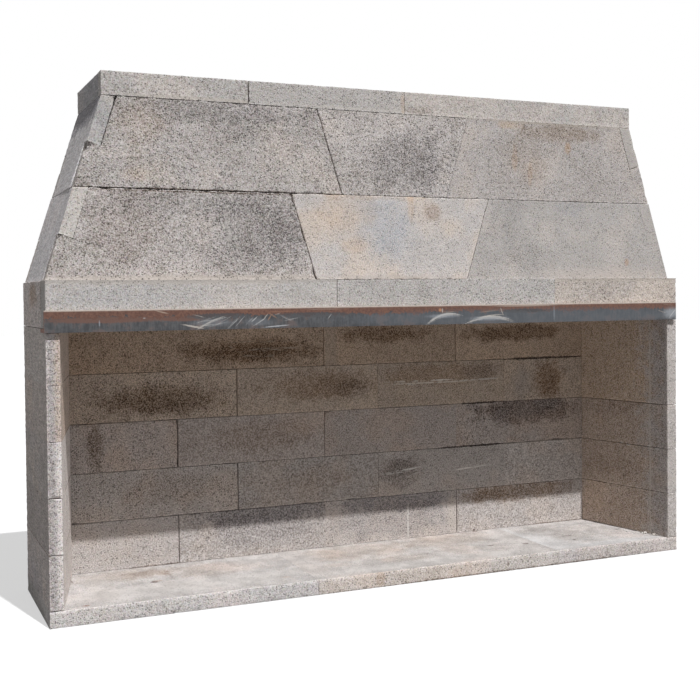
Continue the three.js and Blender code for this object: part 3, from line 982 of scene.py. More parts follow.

# real stains, dust and scuffs, with some painted light and shade among them
marksAndPaintedLight = {
    "back_course_5_block_2": [
        stain(-0.42, 0.888, 0.28, 0.048, 0.75, soot, 0.8),
        stain(-0.44, 0.885, 0.17, 0.030, 0.5, soot, 0.9),
        scuff(-0.40, 0.925, 0.13, 0.005, 0.0, 0.7, (0.46, 0.39, 0.32), 0, 0.48, 14, 260),
        scuff(-0.34, 0.893, 0.14, 0.006, 0.02, 0.8, (0.48, 0.41, 0.34), 0, 0.48, 14, 260),
        scuff(-0.36, 0.866, 0.15, 0.006, 0.0, 0.6, (0.44, 0.38, 0.31), 0, 0.50, 14, 260),
        scuff(-0.515, 0.905, 0.016, 0.003, -0.35, 0.8, (0.50, 0.42, 0.34), 0, 0.40),
    ],
    "back_course_5_block_3": [
        stain(0.17, 0.945, 0.18, 0.034, 0.75, soot, 0.8),
        dust(-0.085, 0.88, 0.03, 0.2, 0.35, (0.42, 0.36, 0.31)),
    ],
    "back_course_5_block_4": [
        stain(0.962, 0.8185, 0.225, 0.0038, 1.0, jointDark, 0.5),
        stain(0.82, 0.935, 0.25, 0.036, 0.75, soot, 0.8),
        stain(0.70, 0.925, 0.09, 0.028, 0.3, soot, 0.9),
    ],
    "back_course_4_block_1": [
        stain(-0.80, 0.709, 0.245, 0.060, 0.60, soot, 0.9),
        stain(-0.84, 0.700, 0.17, 0.034, 0.50, soot, 1.0),
    ],
    "back_course_4_block_2": [
        stain(-0.12, 0.735, 0.23, 0.058, 0.55, brown, 0.9),
        stain(-0.08, 0.728, 0.12, 0.036, 0.33, soot, 0.9),
        stain(0.02, 0.71, 0.07, 0.04, 0.4, bluish),
    ],
    "back_course_4_block_3": [
        stain(0.66, 0.6285, 0.10, 0.0030, 1.0, jointDark, 0.5),
        stain(0.45, 0.765, 0.28, 0.045, 0.5, brown, 0.9),
        stain(0.64, 0.765, 0.09, 0.030, 0.4, bluish, 0.9),
        scuff(0.34, 0.7360, 0.15, 0.0030, 0.0, 0.9, (0.72, 0.66, 0.59), 0, 0.42, 34, 60),
        scuff(0.40, 0.7265, 0.19, 0.0032, 0.0, 0.9, (0.74, 0.67, 0.59), 0, 0.38, 27, 60),
        scuff(0.445, 0.7360, 0.045, 0.0032, 0.0, 1.0, (0.80, 0.74, 0.67), 0, 0.30, 20, 60),
        scuff(0.62, 0.7310, 0.13, 0.0032, 0.02, 0.8, (0.66, 0.62, 0.57), 0, 0.42, 38, 60),
        scuff(0.275, 0.7225, 0.040, 0.0032, -0.1, 0.8, (0.64, 0.60, 0.55), 0, 0.42, 34, 60),
    ],
    "back_course_4_block_4": [
        stain(0.962, 0.8155, 0.225, 0.0034, 1.0, jointDark, 0.5),
        stain(1.00, 0.712, 0.08, 0.085, 0.75, brown, 0.8),
        stain(1.00, 0.70, 0.05, 0.05, 0.35, soot, 0.9),
        dust(0.85, 0.705, 0.045, 0.06, 0.35, (0.36, 0.33, 0.32)),
    ],
    "back_course_3_block_1": [
        stain(-1.07, 0.550, 0.030, 0.090, 0.65, soot, 1.2),
    ],
    "back_course_3_block_2": [stain(-0.38, 0.543, 0.21, 0.062, 0.4, brown, 1.0)],
    "back_course_3_block_3": [stain(0.48, 0.4385, 0.05, 0.0030, 1.0, jointDark, 0.5)],
    "back_course_3_block_4": [
        stain(0.64, 0.4385, 0.14, 0.0036, 1.0, jointDark, 0.5),
        stain(0.66, 0.6255, 0.10, 0.0034, 1.0, jointDark, 0.5),
        stain(0.872, 0.583, 0.262, 0.062, 0.85, (0.50, 0.46, 0.44), 0.45),
        stain(0.84, 0.595, 0.21, 0.040, 0.6, bluish, 0.7),
        dust(0.86, 0.575, 0.05, 0.04, 0.2, (0.40, 0.36, 0.33)),
    ],
    "back_course_2_block_1": [stain(-0.77, 0.36, 0.20, 0.06, 0.3, brown, 1.2)],
    "back_course_2_block_2": [stain(-0.15, 0.34, 0.14, 0.05, 0.25, brown, 1.2)],
    "back_course_2_block_3": [
        stain(0.232, 0.350, 0.100, 0.060, 0.8, (0.55, 0.52, 0.50), 0.9),
        stain(0.238, 0.36, 0.06, 0.03, 0.4, (0.60, 0.57, 0.56), 0.8),
        scuff(0.245, 0.353, 0.095, 0.0032, 0.10, 0.85, (0.66, 0.64, 0.61), 0, 0.40, 30, 60),
        scuff(0.300, 0.358, 0.040, 0.0034, 0.16, 0.95, (0.70, 0.67, 0.64), 0, 0.34, 30, 60),
        scuff(0.215, 0.343, 0.050, 0.0030, 0.05, 0.8, (0.64, 0.62, 0.59), 0, 0.40, 30, 60),
        scuff(0.310, 0.335, 0.080, 0.0030, 0.30, 0.6, (0.62, 0.59, 0.56), 0, 0.44, 30, 60),
        scuff(0.27, 0.335, 0.05, 0.0022, 0.3, 0.5, (0.60, 0.57, 0.54), 0, 0.44),
        scuff(0.60, 0.342, 0.095, 0.0032, 0.06, 0.85, (0.70, 0.67, 0.63), 0, 0.38, 24, 60),
        scuff(0.550, 0.339, 0.035, 0.0036, 0.09, 1.0, (0.76, 0.72, 0.68), 0, 0.28, 24, 60),
        stain(0.60, 0.4355, 0.17, 0.0034, 1.0, jointDark, 0.5),
    ],
    "back_course_1_block_1": [stain(-0.83, 0.0575, 0.12, 0.0032, 0.9, jointAndShadowBrown, 1.0)],
    "back_course_1_block_2": [
        stain(-0.385, 0.225, 0.265, 0.045, 0.8, bluish, 0.6),
        stain(-0.40, 0.16, 0.24, 0.06, 0.45, (0.66, 0.66, 0.69), 0.7),
        scuff(-0.41, 0.124, 0.065, 0.0022, -0.28, 0.7, (0.74, 0.71, 0.68), 0, 0.44),
        scuff(-0.44, 0.132, 0.05, 0.0018, -0.24, 0.5, (0.74, 0.71, 0.68), 0, 0.46),
        scuff(-0.30, 0.115, 0.05, 0.0020, 0.5, 0.4, (0.72, 0.69, 0.66), 0, 0.46),
        dust(-0.06, 0.12, 0.055, 0.08, 0.45, (0.56, 0.50, 0.45)),
        dust(0.0, 0.12, 0.0035, 0.06, 0.5, (0.66, 0.62, 0.58)),
    ],
    "back_course_1_block_3": [
        stain(0.24, 0.225, 0.26, 0.045, 0.75, bluish, 0.5),
        stain(0.20, 0.15, 0.25, 0.09, 0.6, (0.66, 0.68, 0.72), 0.6),
        dust(0.270, 0.13, 0.0045, 0.07, 0.8, (0.70, 0.67, 0.64)),
        dust(0.485, 0.15, 0.024, 0.08, 0.6, (0.62, 0.56, 0.51)),
    ],
    "back_course_1_block_4": [
        stain(1.03, 0.0575, 0.16, 0.0032, 0.9, jointAndShadowBrown, 1.0),
        stain(0.596, 0.061, 0.007, 0.005, 0.9, darkMark, 0.6),
        stain(0.82, 0.218, 0.26, 0.040, 0.75, brown, 0.9),
        stain(0.62, 0.205, 0.10, 0.025, 0.4, brown, 0.9),
    ],
    "hood_upper_front_keystone": [
        stain(0.085, 1.625, 0.19, 0.11, 0.6, ashGrey, 1.0),
        dust(0.0, 1.806, 0.36, 0.006, 0.6, (0.58, 0.54, 0.50)),
        dust(0.322, 1.70, 0.006, 0.06, 0.45, (0.56, 0.50, 0.44)),
        stain(0.15, 1.61, 0.07, 0.06, 0.3, ashGrey, 1.0),
    ],
    "hood_lower_front_left": [
        stain(-0.56, 1.33, 0.17, 0.16, 0.55, ashGrey, 1.1),
        stain(-0.46, 1.36, 0.08, 0.09, 0.4, ashGrey, 1.1),
        stain(-0.88, 1.44, 0.28, 0.05, 0.35, ashGrey, 1.1),
        stain(-1.04, 1.36, 0.12, 0.14, 0.4, (0.78, 0.70, 0.66), 1.1),
        dust(-0.662, 1.35, 0.010, 0.07, 0.45),
        stain(-0.75, 1.4825, 0.42, 0.0026, 0.95, jointAndShadowBrown, 0.9),
        dust(-0.75, 1.176, 0.62, 0.012, 0.75, (0.56, 0.51, 0.47)),
    ],
    "hood_upper_front_left": [
        stain(-0.72, 1.775, 0.36, 0.040, 0.5, ashGrey, 1.1),
        stain(-0.55, 1.72, 0.14, 0.07, 0.3, ashGrey, 1.1),
        stain(-0.97, 1.73, 0.08, 0.07, 0.35, rustyTan, 1.1),
        # painted shade: a dark slot at the broken corner, where the narrow gap lies in shade
        stain(-1.168, 1.630, 0.008, 0.020, 1.0, (0.24, 0.21, 0.19), 0.7),
        stain(-0.75, 1.4905, 0.42, 0.0028, 0.95, jointAndShadowBrown, 0.9),
        dust(-0.564, 1.61, 0.010, 0.05, 0.45),
        stain(-1.0, 1.535, 0.05, 0.022, 0.4, rustyTan, 1.0),
        dust(-0.85, 1.812, 0.20, 0.006, 0.7, (0.56, 0.51, 0.47)),
    ],
    "hood_upper_front_right": [
        stain(0.78, 1.765, 0.19, 0.034, 0.55, brown, 1.1),
        stain(0.60, 1.66, 0.10, 0.10, 0.25, brown, 1.2),
        stain(0.548, 1.65, 0.012, 0.05, 0.6, rustyTan),
        stain(0.52, 1.79, 0.06, 0.018, 0.8, (1.08, 0.93, 0.76)),
        stain(0.805, 1.71, 0.014, 0.022, 0.7, (0.95, 0.72, 0.52)),
        stain(0.62, 1.60, 0.010, 0.05, 0.5, rustyTan),
        dust(0.72, 1.806, 0.36, 0.008, 0.6, (0.56, 0.49, 0.42)),
    ],
    "hood_lower_front_keystone": [
        stain(-0.05, 1.37, 0.12, 0.12, 0.75, (0.82, 0.89, 0.98), 1.0),
        stain(0.172, 1.432, 0.035, 0.03, 0.65, (0.66, 0.54, 0.46), 1.1),
        stain(-0.2, 1.42, 0.13, 0.06, 0.45, rustyTan, 1.1),
        stain(0.075, 1.47, 0.014, 0.08, 0.55, rustyTan),
        stain(-0.16, 1.30, 0.05, 0.03, 0.5, rustyTan, 1.0),
        stain(-0.1, 1.49, 0.20, 0.018, 0.35, rustyTan, 1.0),
        dust(0.0, 1.178, 0.26, 0.008, 0.5, (0.56, 0.51, 0.47)),
    ],
    "hood_lower_front_right": [
        dust(0.93, 1.195, 0.26, 0.022, 0.5, (0.57, 0.52, 0.49)),
        stain(0.52, 1.38, 0.07, 0.13, 0.3, ashGrey, 1.1),
        stain(0.60, 1.26, 0.06, 0.06, 0.25, ashGrey, 1.1),
        dust(0.935, 1.43, 0.016, 0.05, 0.35, (0.58, 0.55, 0.53)),
        stain(1.10, 1.24, 0.010, 0.014, 0.7, (0.95, 0.70, 0.55)),
        stain(0.82, 1.46, 0.07, 0.03, 0.6, (0.92, 0.95, 1.0)),
    ],
    "hood_upper_side_left": [
        # painted light: the plate's left flank made paler, as where light grazes it
        limited(stain(0.03, 1.66, 0.60, 0.60, 1.0, (1.47, 1.51, 1.60), 0.1, "side"), plateFlank),
        # painted shadow: the collar's shadow on the plate's left flank, just under the collar
        limited(stain(0.05, 1.815, 0.50, 0.095, 1.0, (0.40, 0.40, 0.43), 0.4, "side"), plateFlank),
        limited(stain(-1.10, 1.73, 0.30, 0.30, 1.0, (1.02, 1.04, 1.06), 0.1), plateFront),
        limited(stain(-1.11, 1.735, 0.03, 0.05, 0.6, (0.80, 0.82, 0.85)), plateFront),
        limited(dust(-1.07, 1.80, 0.04, 0.02, 0.5, (0.56, 0.53, 0.50)), plateFront),
    ],
    "hood_lower_side_left": [
        # painted light: the plate's left flank made paler, as where light grazes it
        limited(stain(0.05, 1.34, 0.60, 0.60, 1.0, (1.30, 1.32, 1.40), 0.1, "side"), plateFlank),
        limited(stain(-1.20, 1.40, 0.30, 0.30, 1.0, (1.20, 1.19, 1.17), 0.1), plateFront),
    ],
    "hood_lower_side_right": [stain(1.20, 1.40, 0.30, 0.30, 1.0, (1.06, 1.05, 1.04), 0.1)],
    "hood_upper_side_right": [stain(1.10, 1.73, 0.30, 0.30, 1.0, (1.06, 1.05, 1.03), 0.1)],
    "collar_front_left": [dust(-0.60, 1.815, 0.45, 0.006, 0.7, (0.56, 0.51, 0.46))],
    "collar_front_middle": [
        dust(0.0, 1.815, 0.40, 0.005, 0.6, (0.58, 0.54, 0.50)),
        stain(collarJoint - 0.006, 1.84, 0.009, 0.05, 0.8, (1.02, 0.90, 0.79), 0.9),
    ],
    "collar_front_right": [stain(collarJoint + 0.05, 1.823, 0.06, 0.012, 0.6, (0.70, 0.65, 0.62))],
    "collar_side_left": [stain(0.0, 1.85, 0.60, 0.30, 1.0, (0.80, 0.83, 0.90), 0.1, "side")],
    "front_band_left": [
        limited(stain(-0.22, 1.12, 0.20, 0.20, 1.0, (0.80, 0.80, 0.80), 0.1, "side"), bandEnd),
        stain(-1.1, 1.10, 0.24, 0.04, 0.4, (0.90, 0.94, 1.0), 1.2),
        dust(-0.8, 1.165, 0.6, 0.01, 0.7, (0.56, 0.51, 0.47)),
    ],
    "front_band_right": [dust(0.95, 1.165, 0.4, 0.008, 0.6, (0.58, 0.52, 0.46))],
    "base_slab_left": [
        stain(-0.98, 0.12, 0.18, 0.08, 0.7, (0.86, 0.79, 0.73), 0.9, "top"),
        stain(-0.67, 0.06, 0.14, 0.10, 0.7, (0.84, 0.78, 0.73), 0.8, "top"),
        stain(-0.90, 0.10, 0.10, 0.05, 0.5, (0.86, 0.76, 0.69), 0.8, "top"),
        dust(-0.46, 0.14, 0.10, 0.06, 0.5, (0.62, 0.59, 0.57), 1.0, "top"),
        dust(-0.80, -0.14, 0.45, 0.08, 0.7, (0.63, 0.60, 0.58), 0.9, "top"),
        dust(-1.10, -0.05, 0.05, 0.18, 0.5, (0.64, 0.60, 0.57), 0.9, "top"),
        dust(-0.439, -0.174, 0.02, 0.012, 0.5, (0.62, 0.50, 0.44), 1.0, "top"),
        stain(-1.189, -0.238, 0.014, 0.008, 0.9, (0.62, 0.45, 0.40), 0.6, "top"),
        stain(-0.904, -0.028, 0.012, 0.012, 0.9, darkMark, 0.6, "top"),
        stain(-0.885, -0.018, 0.016, 0.010, 0.7, (0.95, 0.76, 0.66), 0.6, "top"),
        stain(-0.825, 0.06, 0.005, 0.09, 0.5, (0.62, 0.57, 0.54), 0.7, "top"),
        stain(-1.181, 0.107, 0.006, 0.020, 0.8, darkMark, 0.6, "top"),
        stain(-0.80, 0.2095, 0.15, 0.004, 0.7, (0.55, 0.50, 0.47), 0.7, "top"),
        limited(stain(-0.55, 0.02, 0.30, 0.04, 0.6, (0.95, 0.95, 0.97), 0.8), frontFace),
        limited(stain(-1.13, 0.03, 0.14, 0.03, 0.5, (0.90, 0.89, 0.88), 0.8), frontFace),
    ],
    "base_slab_middle": [
        stain(-0.05, 0.10, 0.22, 0.09, 0.7, (0.92, 0.85, 0.79), 0.9, "top"),
        stain(0.38, 0.10, 0.20, 0.09, 0.8, (0.88, 0.82, 0.77), 0.8, "top"),
        stain(0.10, -0.10, 0.10, 0.05, 0.5, (0.90, 0.83, 0.77), 0.8, "top"),
        stain(-0.19, -0.09, 0.05, 0.03, 0.4, (0.98, 0.88, 0.80), 0.9, "top"),
        dust(-0.30, 0.05, 0.06, 0.25, 0.6, (0.62, 0.58, 0.56), 0.9, "top"),
        dust(0.15, -0.20, 0.50, 0.04, 0.6, (0.63, 0.60, 0.58), 1.0, "top"),
        dust(0.66, 0.00, 0.06, 0.25, 0.5, (0.63, 0.59, 0.57), 0.9, "top"),
        stain(0.666, -0.098, 0.012, 0.010, 0.9, darkMark, 0.6, "top"),
        stain(0.516, -0.064, 0.014, 0.008, 0.8, darkMark, 0.6, "top"),
        stain(0.596, 0.205, 0.012, 0.007, 0.9, darkMark, 0.6, "top"),
        limited(stain(-0.05, 0.02, 0.36, 0.05, 1.0, (0.99, 0.935, 0.885), 0.6), frontFace),
        limited(stain(0.40, 0.02, 0.36, 0.05, 1.0, (0.98, 0.955, 0.93), 0.6), frontFace),
        limited(stain(-0.09, 0.03, 0.02, 0.03, 0.7, (0.74, 0.64, 0.56), 0.8), frontFace),
        limited(stain(0.475, 0.029, 0.004, 0.010, 0.9, darkMark, 0.6), frontFace),
        # painted shadow: a dark line along the bottom edge, where the slab meets the floor
        limited(stain(0.35, 0.001, 0.55, 0.0045, 1.0, jointAndShadowBrown, 0.8), frontFace),
    ],
    "base_slab_right": [
        stain(0.93, -0.04, 0.11, 0.07, 0.7, (0.84, 0.82, 0.80), 0.8, "top"),
        stain(0.88, 0.12, 0.12, 0.05, 0.7, (0.86, 0.84, 0.82), 0.8, "top"),
        stain(1.05, 0.05, 0.10, 0.06, 0.4, (0.92, 0.87, 0.83), 0.8, "top"),
        dust(0.730, -0.03, 0.016, 0.26, 0.7, (0.66, 0.65, 0.645), 1.2, "top"),
        dust(0.78, -0.10, 0.06, 0.14, 0.5, (0.68, 0.67, 0.67), 0.9, "top"),
        dust(1.00, -0.225, 0.28, 0.030, 0.7, (0.66, 0.65, 0.65), 1.1, "top"),
        stain(0.905, -0.050, 0.030, 0.005, 0.8, darkMark, 0.7, "top"),
        stain(0.875, 0.081, 0.012, 0.006, 0.6, darkMark, 0.7, "top"),
        stain(0.882, 0.096, 0.020, 0.005, 0.6, darkMark, 0.7, "top"),
        stain(1.192, -0.032, 0.018, 0.005, 0.9, darkMark, 0.7, "top"),
        stain(0.894, -0.126, 0.008, 0.008, 0.8, darkMark, 0.6, "top"),
        stain(1.082, 0.099, 0.008, 0.008, 0.6, (0.70, 0.60, 0.52), 0.6, "top"),
        limited(stain(0.76, 0.03, 0.05, 0.04, 0.6, (0.90, 0.92, 0.96), 0.8), frontFace),
        limited(stain(1.03, 0.03, 0.50, 0.10, 1.0, (0.865, 0.82, 0.80), 0.3), frontFace),
        # painted shadow: a dark line along the bottom edge, where the slab meets the floor
        limited(stain(0.80, 0.001, 0.25, 0.0045, 1.0, jointAndShadowBrown, 0.8), frontFace),
    ],
    "side_left_course_6": [
        stain(0.03, 1.12, 0.09, 0.04, 0.65, brown, 1.0, "side"),
        stain(-0.168, 1.12, 0.008, 0.10, 0.85, (0.35, 0.33, 0.32), 0.7, "side"),
        limited(stain(0.0, 1.12, 0.6, 0.5, 1.0, (1.50, 1.47, 1.48), 0.1, "side"), outside),
    ],
}


# The side walls: sooty inside on the right; at the left, painted light makes the inner faces paler
outerTones = (
    (1.20, 1.18, 1.19),
    (0.95, 0.93, 0.93),
    (1.06, 1.05, 1.05),
    (1.20, 1.16, 1.14),
    (1.28, 1.27, 1.26),
)
baseTop, courseRise = 0.057, 0.19
for course, outerTone in enumerate(outerTones, 1):
    level = baseTop + courseRise * (course - 0.5)
    sooty = (1.01, 0.86, 0.71) if course < 4 else (1.12, 0.91, 0.68)
    paintedInsideLight = (1.78, 1.79, 1.78) if course < 4 else (1.34, 1.20, 1.06)
    marksAndPaintedLight[f"side_right_course_{course}"] = [
        limited(stain(0.13, level, 0.30, 0.5, 0.9, sooty, 0.6, "side"), inside),
        limited(stain(-0.225, level, 0.04, 0.5, 0.5, (0.86, 0.84, 0.84), 0.6, "side"), inside),
        limited(dust(-0.179, level, 0.0040, 0.5, 0.7, (0.60, 0.55, 0.50), 1.4, "side"), inside),
        limited(dust(1.30, level, 0.2, 0.5, 0.35, (0.53, 0.49, 0.465), 0.1), frontFace),
    ]
    marksAndPaintedLight[f"side_left_course_{course}"] = [
        # painted light: the inner faces at the left made paler
        limited(stain(-0.05, level, 0.30, 0.5, 1.0, paintedInsideLight, 0.3, "side"), inside),
        limited(stain(0.0, level, 0.6, 0.5, 1.0, outerTone, 0.1, "side"), outside),
        limited(stain(-1.29, level, 0.2, 0.5, 1.0, (0.935, 0.94, 0.965), 0.1), frontFace),
        limited(stain(0.06, level - 0.094, 0.20, 0.0026, 1.0, jointAndShadowBrown, 0.6, "side"), inside),
    ]
marksAndPaintedLight["side_left_course_1"] += [
    limited(stain(0.20, 0.06, 0.25, 0.09, 0.6, (0.91, 0.95, 1.04), 1.0, "side"), outside),
    limited(stain(-0.05, 0.2455, 0.30, 0.0030, 1.0, jointAndShadowBrown, 0.6, "side"), outside),
]
marksAndPaintedLight["side_right_course_3"] += [
    limited(stain(0.02, 0.595, 0.12, 0.04, 0.6, (0.72, 0.68, 0.66), 0.9, "side"), inside),
    limited(dust(-0.171, 0.4385, 0.009, 0.004, 0.8, (0.66, 0.64, 0.62), 0.8, "side"), inside),
    limited(dust(-0.022, 0.4385, 0.007, 0.004, 0.8, (0.66, 0.64, 0.62), 0.8, "side"), inside),
]
marksAndPaintedLight["side_right_course_2"] += [
    limited(stain(0.04, 0.33, 0.15, 0.05, 0.5, (0.76, 0.72, 0.69), 0.9, "side"), inside),
    limited(dust(-0.06, 0.4350, 0.010, 0.004, 0.8, (0.66, 0.64, 0.62), 0.8, "side"), inside),
    limited(dust(-0.215, 0.4350, 0.012, 0.004, 0.8, (0.62, 0.60, 0.58), 0.8, "side"), inside),
]

# Each run of blocks: its colour, and a warmer second colour that shows in places
stone = dict(
    hoodGrey=((0.50, 0.46, 0.44), (0.52, 0.465, 0.43)),
    hoodPale=((0.475, 0.445, 0.425), (0.515, 0.47, 0.44)),
    keystone=((0.60, 0.56, 0.54), (0.64, 0.56, 0.50)),
    bandPale=((0.53, 0.50, 0.48), (0.56, 0.515, 0.485)),
    bandTan=((0.555, 0.495, 0.455), (0.59, 0.515, 0.46)),
    collar=((0.505, 0.475, 0.455), (0.55, 0.50, 0.465)),
    side=((0.46, 0.42, 0.40), (0.48, 0.425, 0.39)),
    base=((0.535, 0.505, 0.49), (0.545, 0.495, 0.47)),
    baseTan=((0.54, 0.505, 0.485), (0.55, 0.49, 0.455)),
    fireboxTop=((0.485, 0.370, 0.283), (0.50, 0.375, 0.28)),
    fireboxUpper=((0.455, 0.372, 0.307), (0.47, 0.377, 0.30)),
    fireboxMiddle=((0.45, 0.395, 0.365), (0.46, 0.38, 0.33)),
    fireboxLow=((0.465, 0.425, 0.40), (0.47, 0.41, 0.37)),
    fireboxFoot=((0.50, 0.46, 0.44), (0.51, 0.455, 0.42)),
)

# Blocks that came out paler or darker than their run
shades = dict(
    back_course_1_block_2=0.94,
    back_course_1_block_4=0.985,
    back_course_2_block_1=1.05,
    back_course_2_block_2=0.93,
    back_course_2_block_4=1.10,
    back_course_3_block_1=1.12,
    back_course_3_block_2=1.06,
    back_course_4_block_1=1.14,
    back_course_4_block_2=1.07,
    back_course_4_block_4=1.08,
    back_course_5_block_3=0.95,
    back_course_5_block_4=1.05,
    base_slab_right=1.03,
    front_band_middle=0.96,
    front_band_right=0.975,
    hood_upper_front_keystone=1.07,
    hood_lower_front_left=1.05,
    hood_lower_front_right=1.02,
    hood_upper_front_right=0.975,
    side_right_course_1=1.04,
)


# Surface, colour and share of the warmer colour of the blocks that differ from their run
ownFinishes = dict(
    hood_lower_front_keystone=("fine", "keystone", 0.4),
    hood_upper_front_keystone=("rough", "hoodGrey", 0.2),
    hood_lower_front_left=("rough", "hoodGrey", 0.25),
    hood_upper_front_left=("rough", "hoodGrey", 0.3),
    hood_lower_front_right=("fine", "hoodPale", 0.3),
    hood_upper_front_right=("open", "hoodGrey", 0.3),
    hood_lower_side_left=("fine", "bandPale", 0.3),
    hood_upper_side_left=("fine", "hoodPale", 0.3),
    collar_side_left=("open", "collar", 0.2),
    front_band_left=("fine", "bandPale", 0.3),
    front_band_middle=("open", "bandPale", 0.2),
    front_band_right=("open", "bandTan", 0.5),
    collar_front_right=("fine", "collar", 0.5),
    base_slab_middle=("trodden", "baseTan", 0.4),
)
wallColours = ("fireboxFoot", "fireboxLow", "fireboxMiddle", "fireboxUpper", "fireboxTop", "side")
roughBlocks = ("back_course_3_block_4", "back_course_5_block_2")
smoothBlocks = ("back_course_3_block_2", "back_course_4_block_2")


def finishOf(node):
    if node in ownFinishes:
        return ownFinishes[node]
    if node.startswith("back_course"):
        course = int(node.split("_")[2])
        kind = "foot" if course == 1 else "sooty"
        if node in roughBlocks or course > 1 and node.endswith("block_1"):
            kind = "sootyRough"
        if node in smoothBlocks:
            kind = "sootySmooth"
        return kind, wallColours[course - 1], 0.4
    if node.startswith("side"):
        return "sooty" if "right" in node else "open", "side", 0.2
    if node.startswith("base"):
        return "trodden", "base", 0.3
    if "side" in node:
        return "smooth", "hoodPale", 0.2
    return "open", "collar", 0.3


def castBlock(node, seed):
    low, high = boxes[node]
    low = low + Vector((0, setBack.get(node, 0), 0))
    block = blockKind(node)(node + "_cast", low, high, node)
    low = low - Vector((turnedOut.get(node, 0), 0, 0))
    kind, colours, warmShare = finishOf(node)
    look = surfaces[kind]
    tight, wear = tightEnds.get(node, []), edgeWear.get(node, worn())
    notches = brokenCorners.get(node, [])
    noiseSeed = Vector((seed, 0.37 * seed, -seed))
    castFinish(block, low, high, tight, wear, notches, look["relief"], noiseSeed)
    plain, warm = (Vector(colour) * shades.get(node, 1) for colour in stone[colours])
    marks = marksAndPaintedLight.get(node, [])
    material = pumice(node + "_stone", look, plain, warm, warmShare, marks, seed)
    block.data.materials.append(material)
    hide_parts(node)
    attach(block, "root")


for seed, node in enumerate(sorted(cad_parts)):
    if node != "lintel_angle":
        castBlock(node, seed)

# Crumbs of mortar on the base: (x, y, width) in metres
crumbs = dict(
    rise=0.6,  # of the width
    lift=0.16,  # of the width: the height of its middle above the base
    rough=0.35,
    places=[
        (1.191, -0.100, 0.010), (1.205, -0.128, 0.008), (1.198, -0.071, 0.006),
        (1.232, -0.150, 0.011), (1.243, -0.159, 0.016), (1.228, -0.168, 0.008),
        (1.250, -0.180, 0.009), (1.252, -0.206, 0.015), (1.257, -0.218, 0.010),
        (1.240, -0.200, 0.006), (1.262, -0.236, 0.007), (1.185, -0.040, 0.006),
        (0.003, 0.204, 0.009), (0.235, 0.203, 0.007), (-0.972, 0.198, 0.007),
        (-1.075, -0.205, 0.006),
    ],
    colour=((0.66, 0.64, 0.61), (0.60, 0.55, 0.50)),
)


def mortarCrumbs():
    level = boxes["base_slab_right"][1].z
    grains = []
    for x, y, width in crumbs["places"]:
        bpy.ops.object.select_all(action="DESELECT")
        place = (x, y, level)
        bpy.ops.mesh.primitive_ico_sphere_add(subdivisions=2, radius=width / 2, location=place)
        grain = bpy.context.object
        bpy.ops.object.mode_set(mode="EDIT")
        for vert in editMesh().verts:
            spot = vert.co / width * 2.2 + Vector((x, y, 0)) * 90
            vert.co *= 1 + crumbs["rough"] * noise.noise(spot)
            vert.co.z = max(vert.co.z * crumbs["rise"] + width * crumbs["lift"], -0.0002)
        bmesh.update_edit_mesh(grain.data)
        bpy.ops.object.mode_set(mode="OBJECT")
        bpy.ops.object.transform_apply(location=True, rotation=False, scale=False)
        grains.append(grain)
    for grain in grains:
        grain.select_set(True)
    bpy.context.view_layer.objects.active = grains[0]
    bpy.ops.object.join()
    heap = bpy.context.object
    heap.name = "mortar_crumbs"
    bpy.ops.object.shade_smooth_by_angle(angle=math.radians(35))
    material = pumice("mortarCrumbs", surfaces["foot"], *crumbs["colour"], 0.4, [], 71)
    heap.data.materials.append(material)
    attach(heap, "root")


mortarCrumbs()
print("crumbs laid")

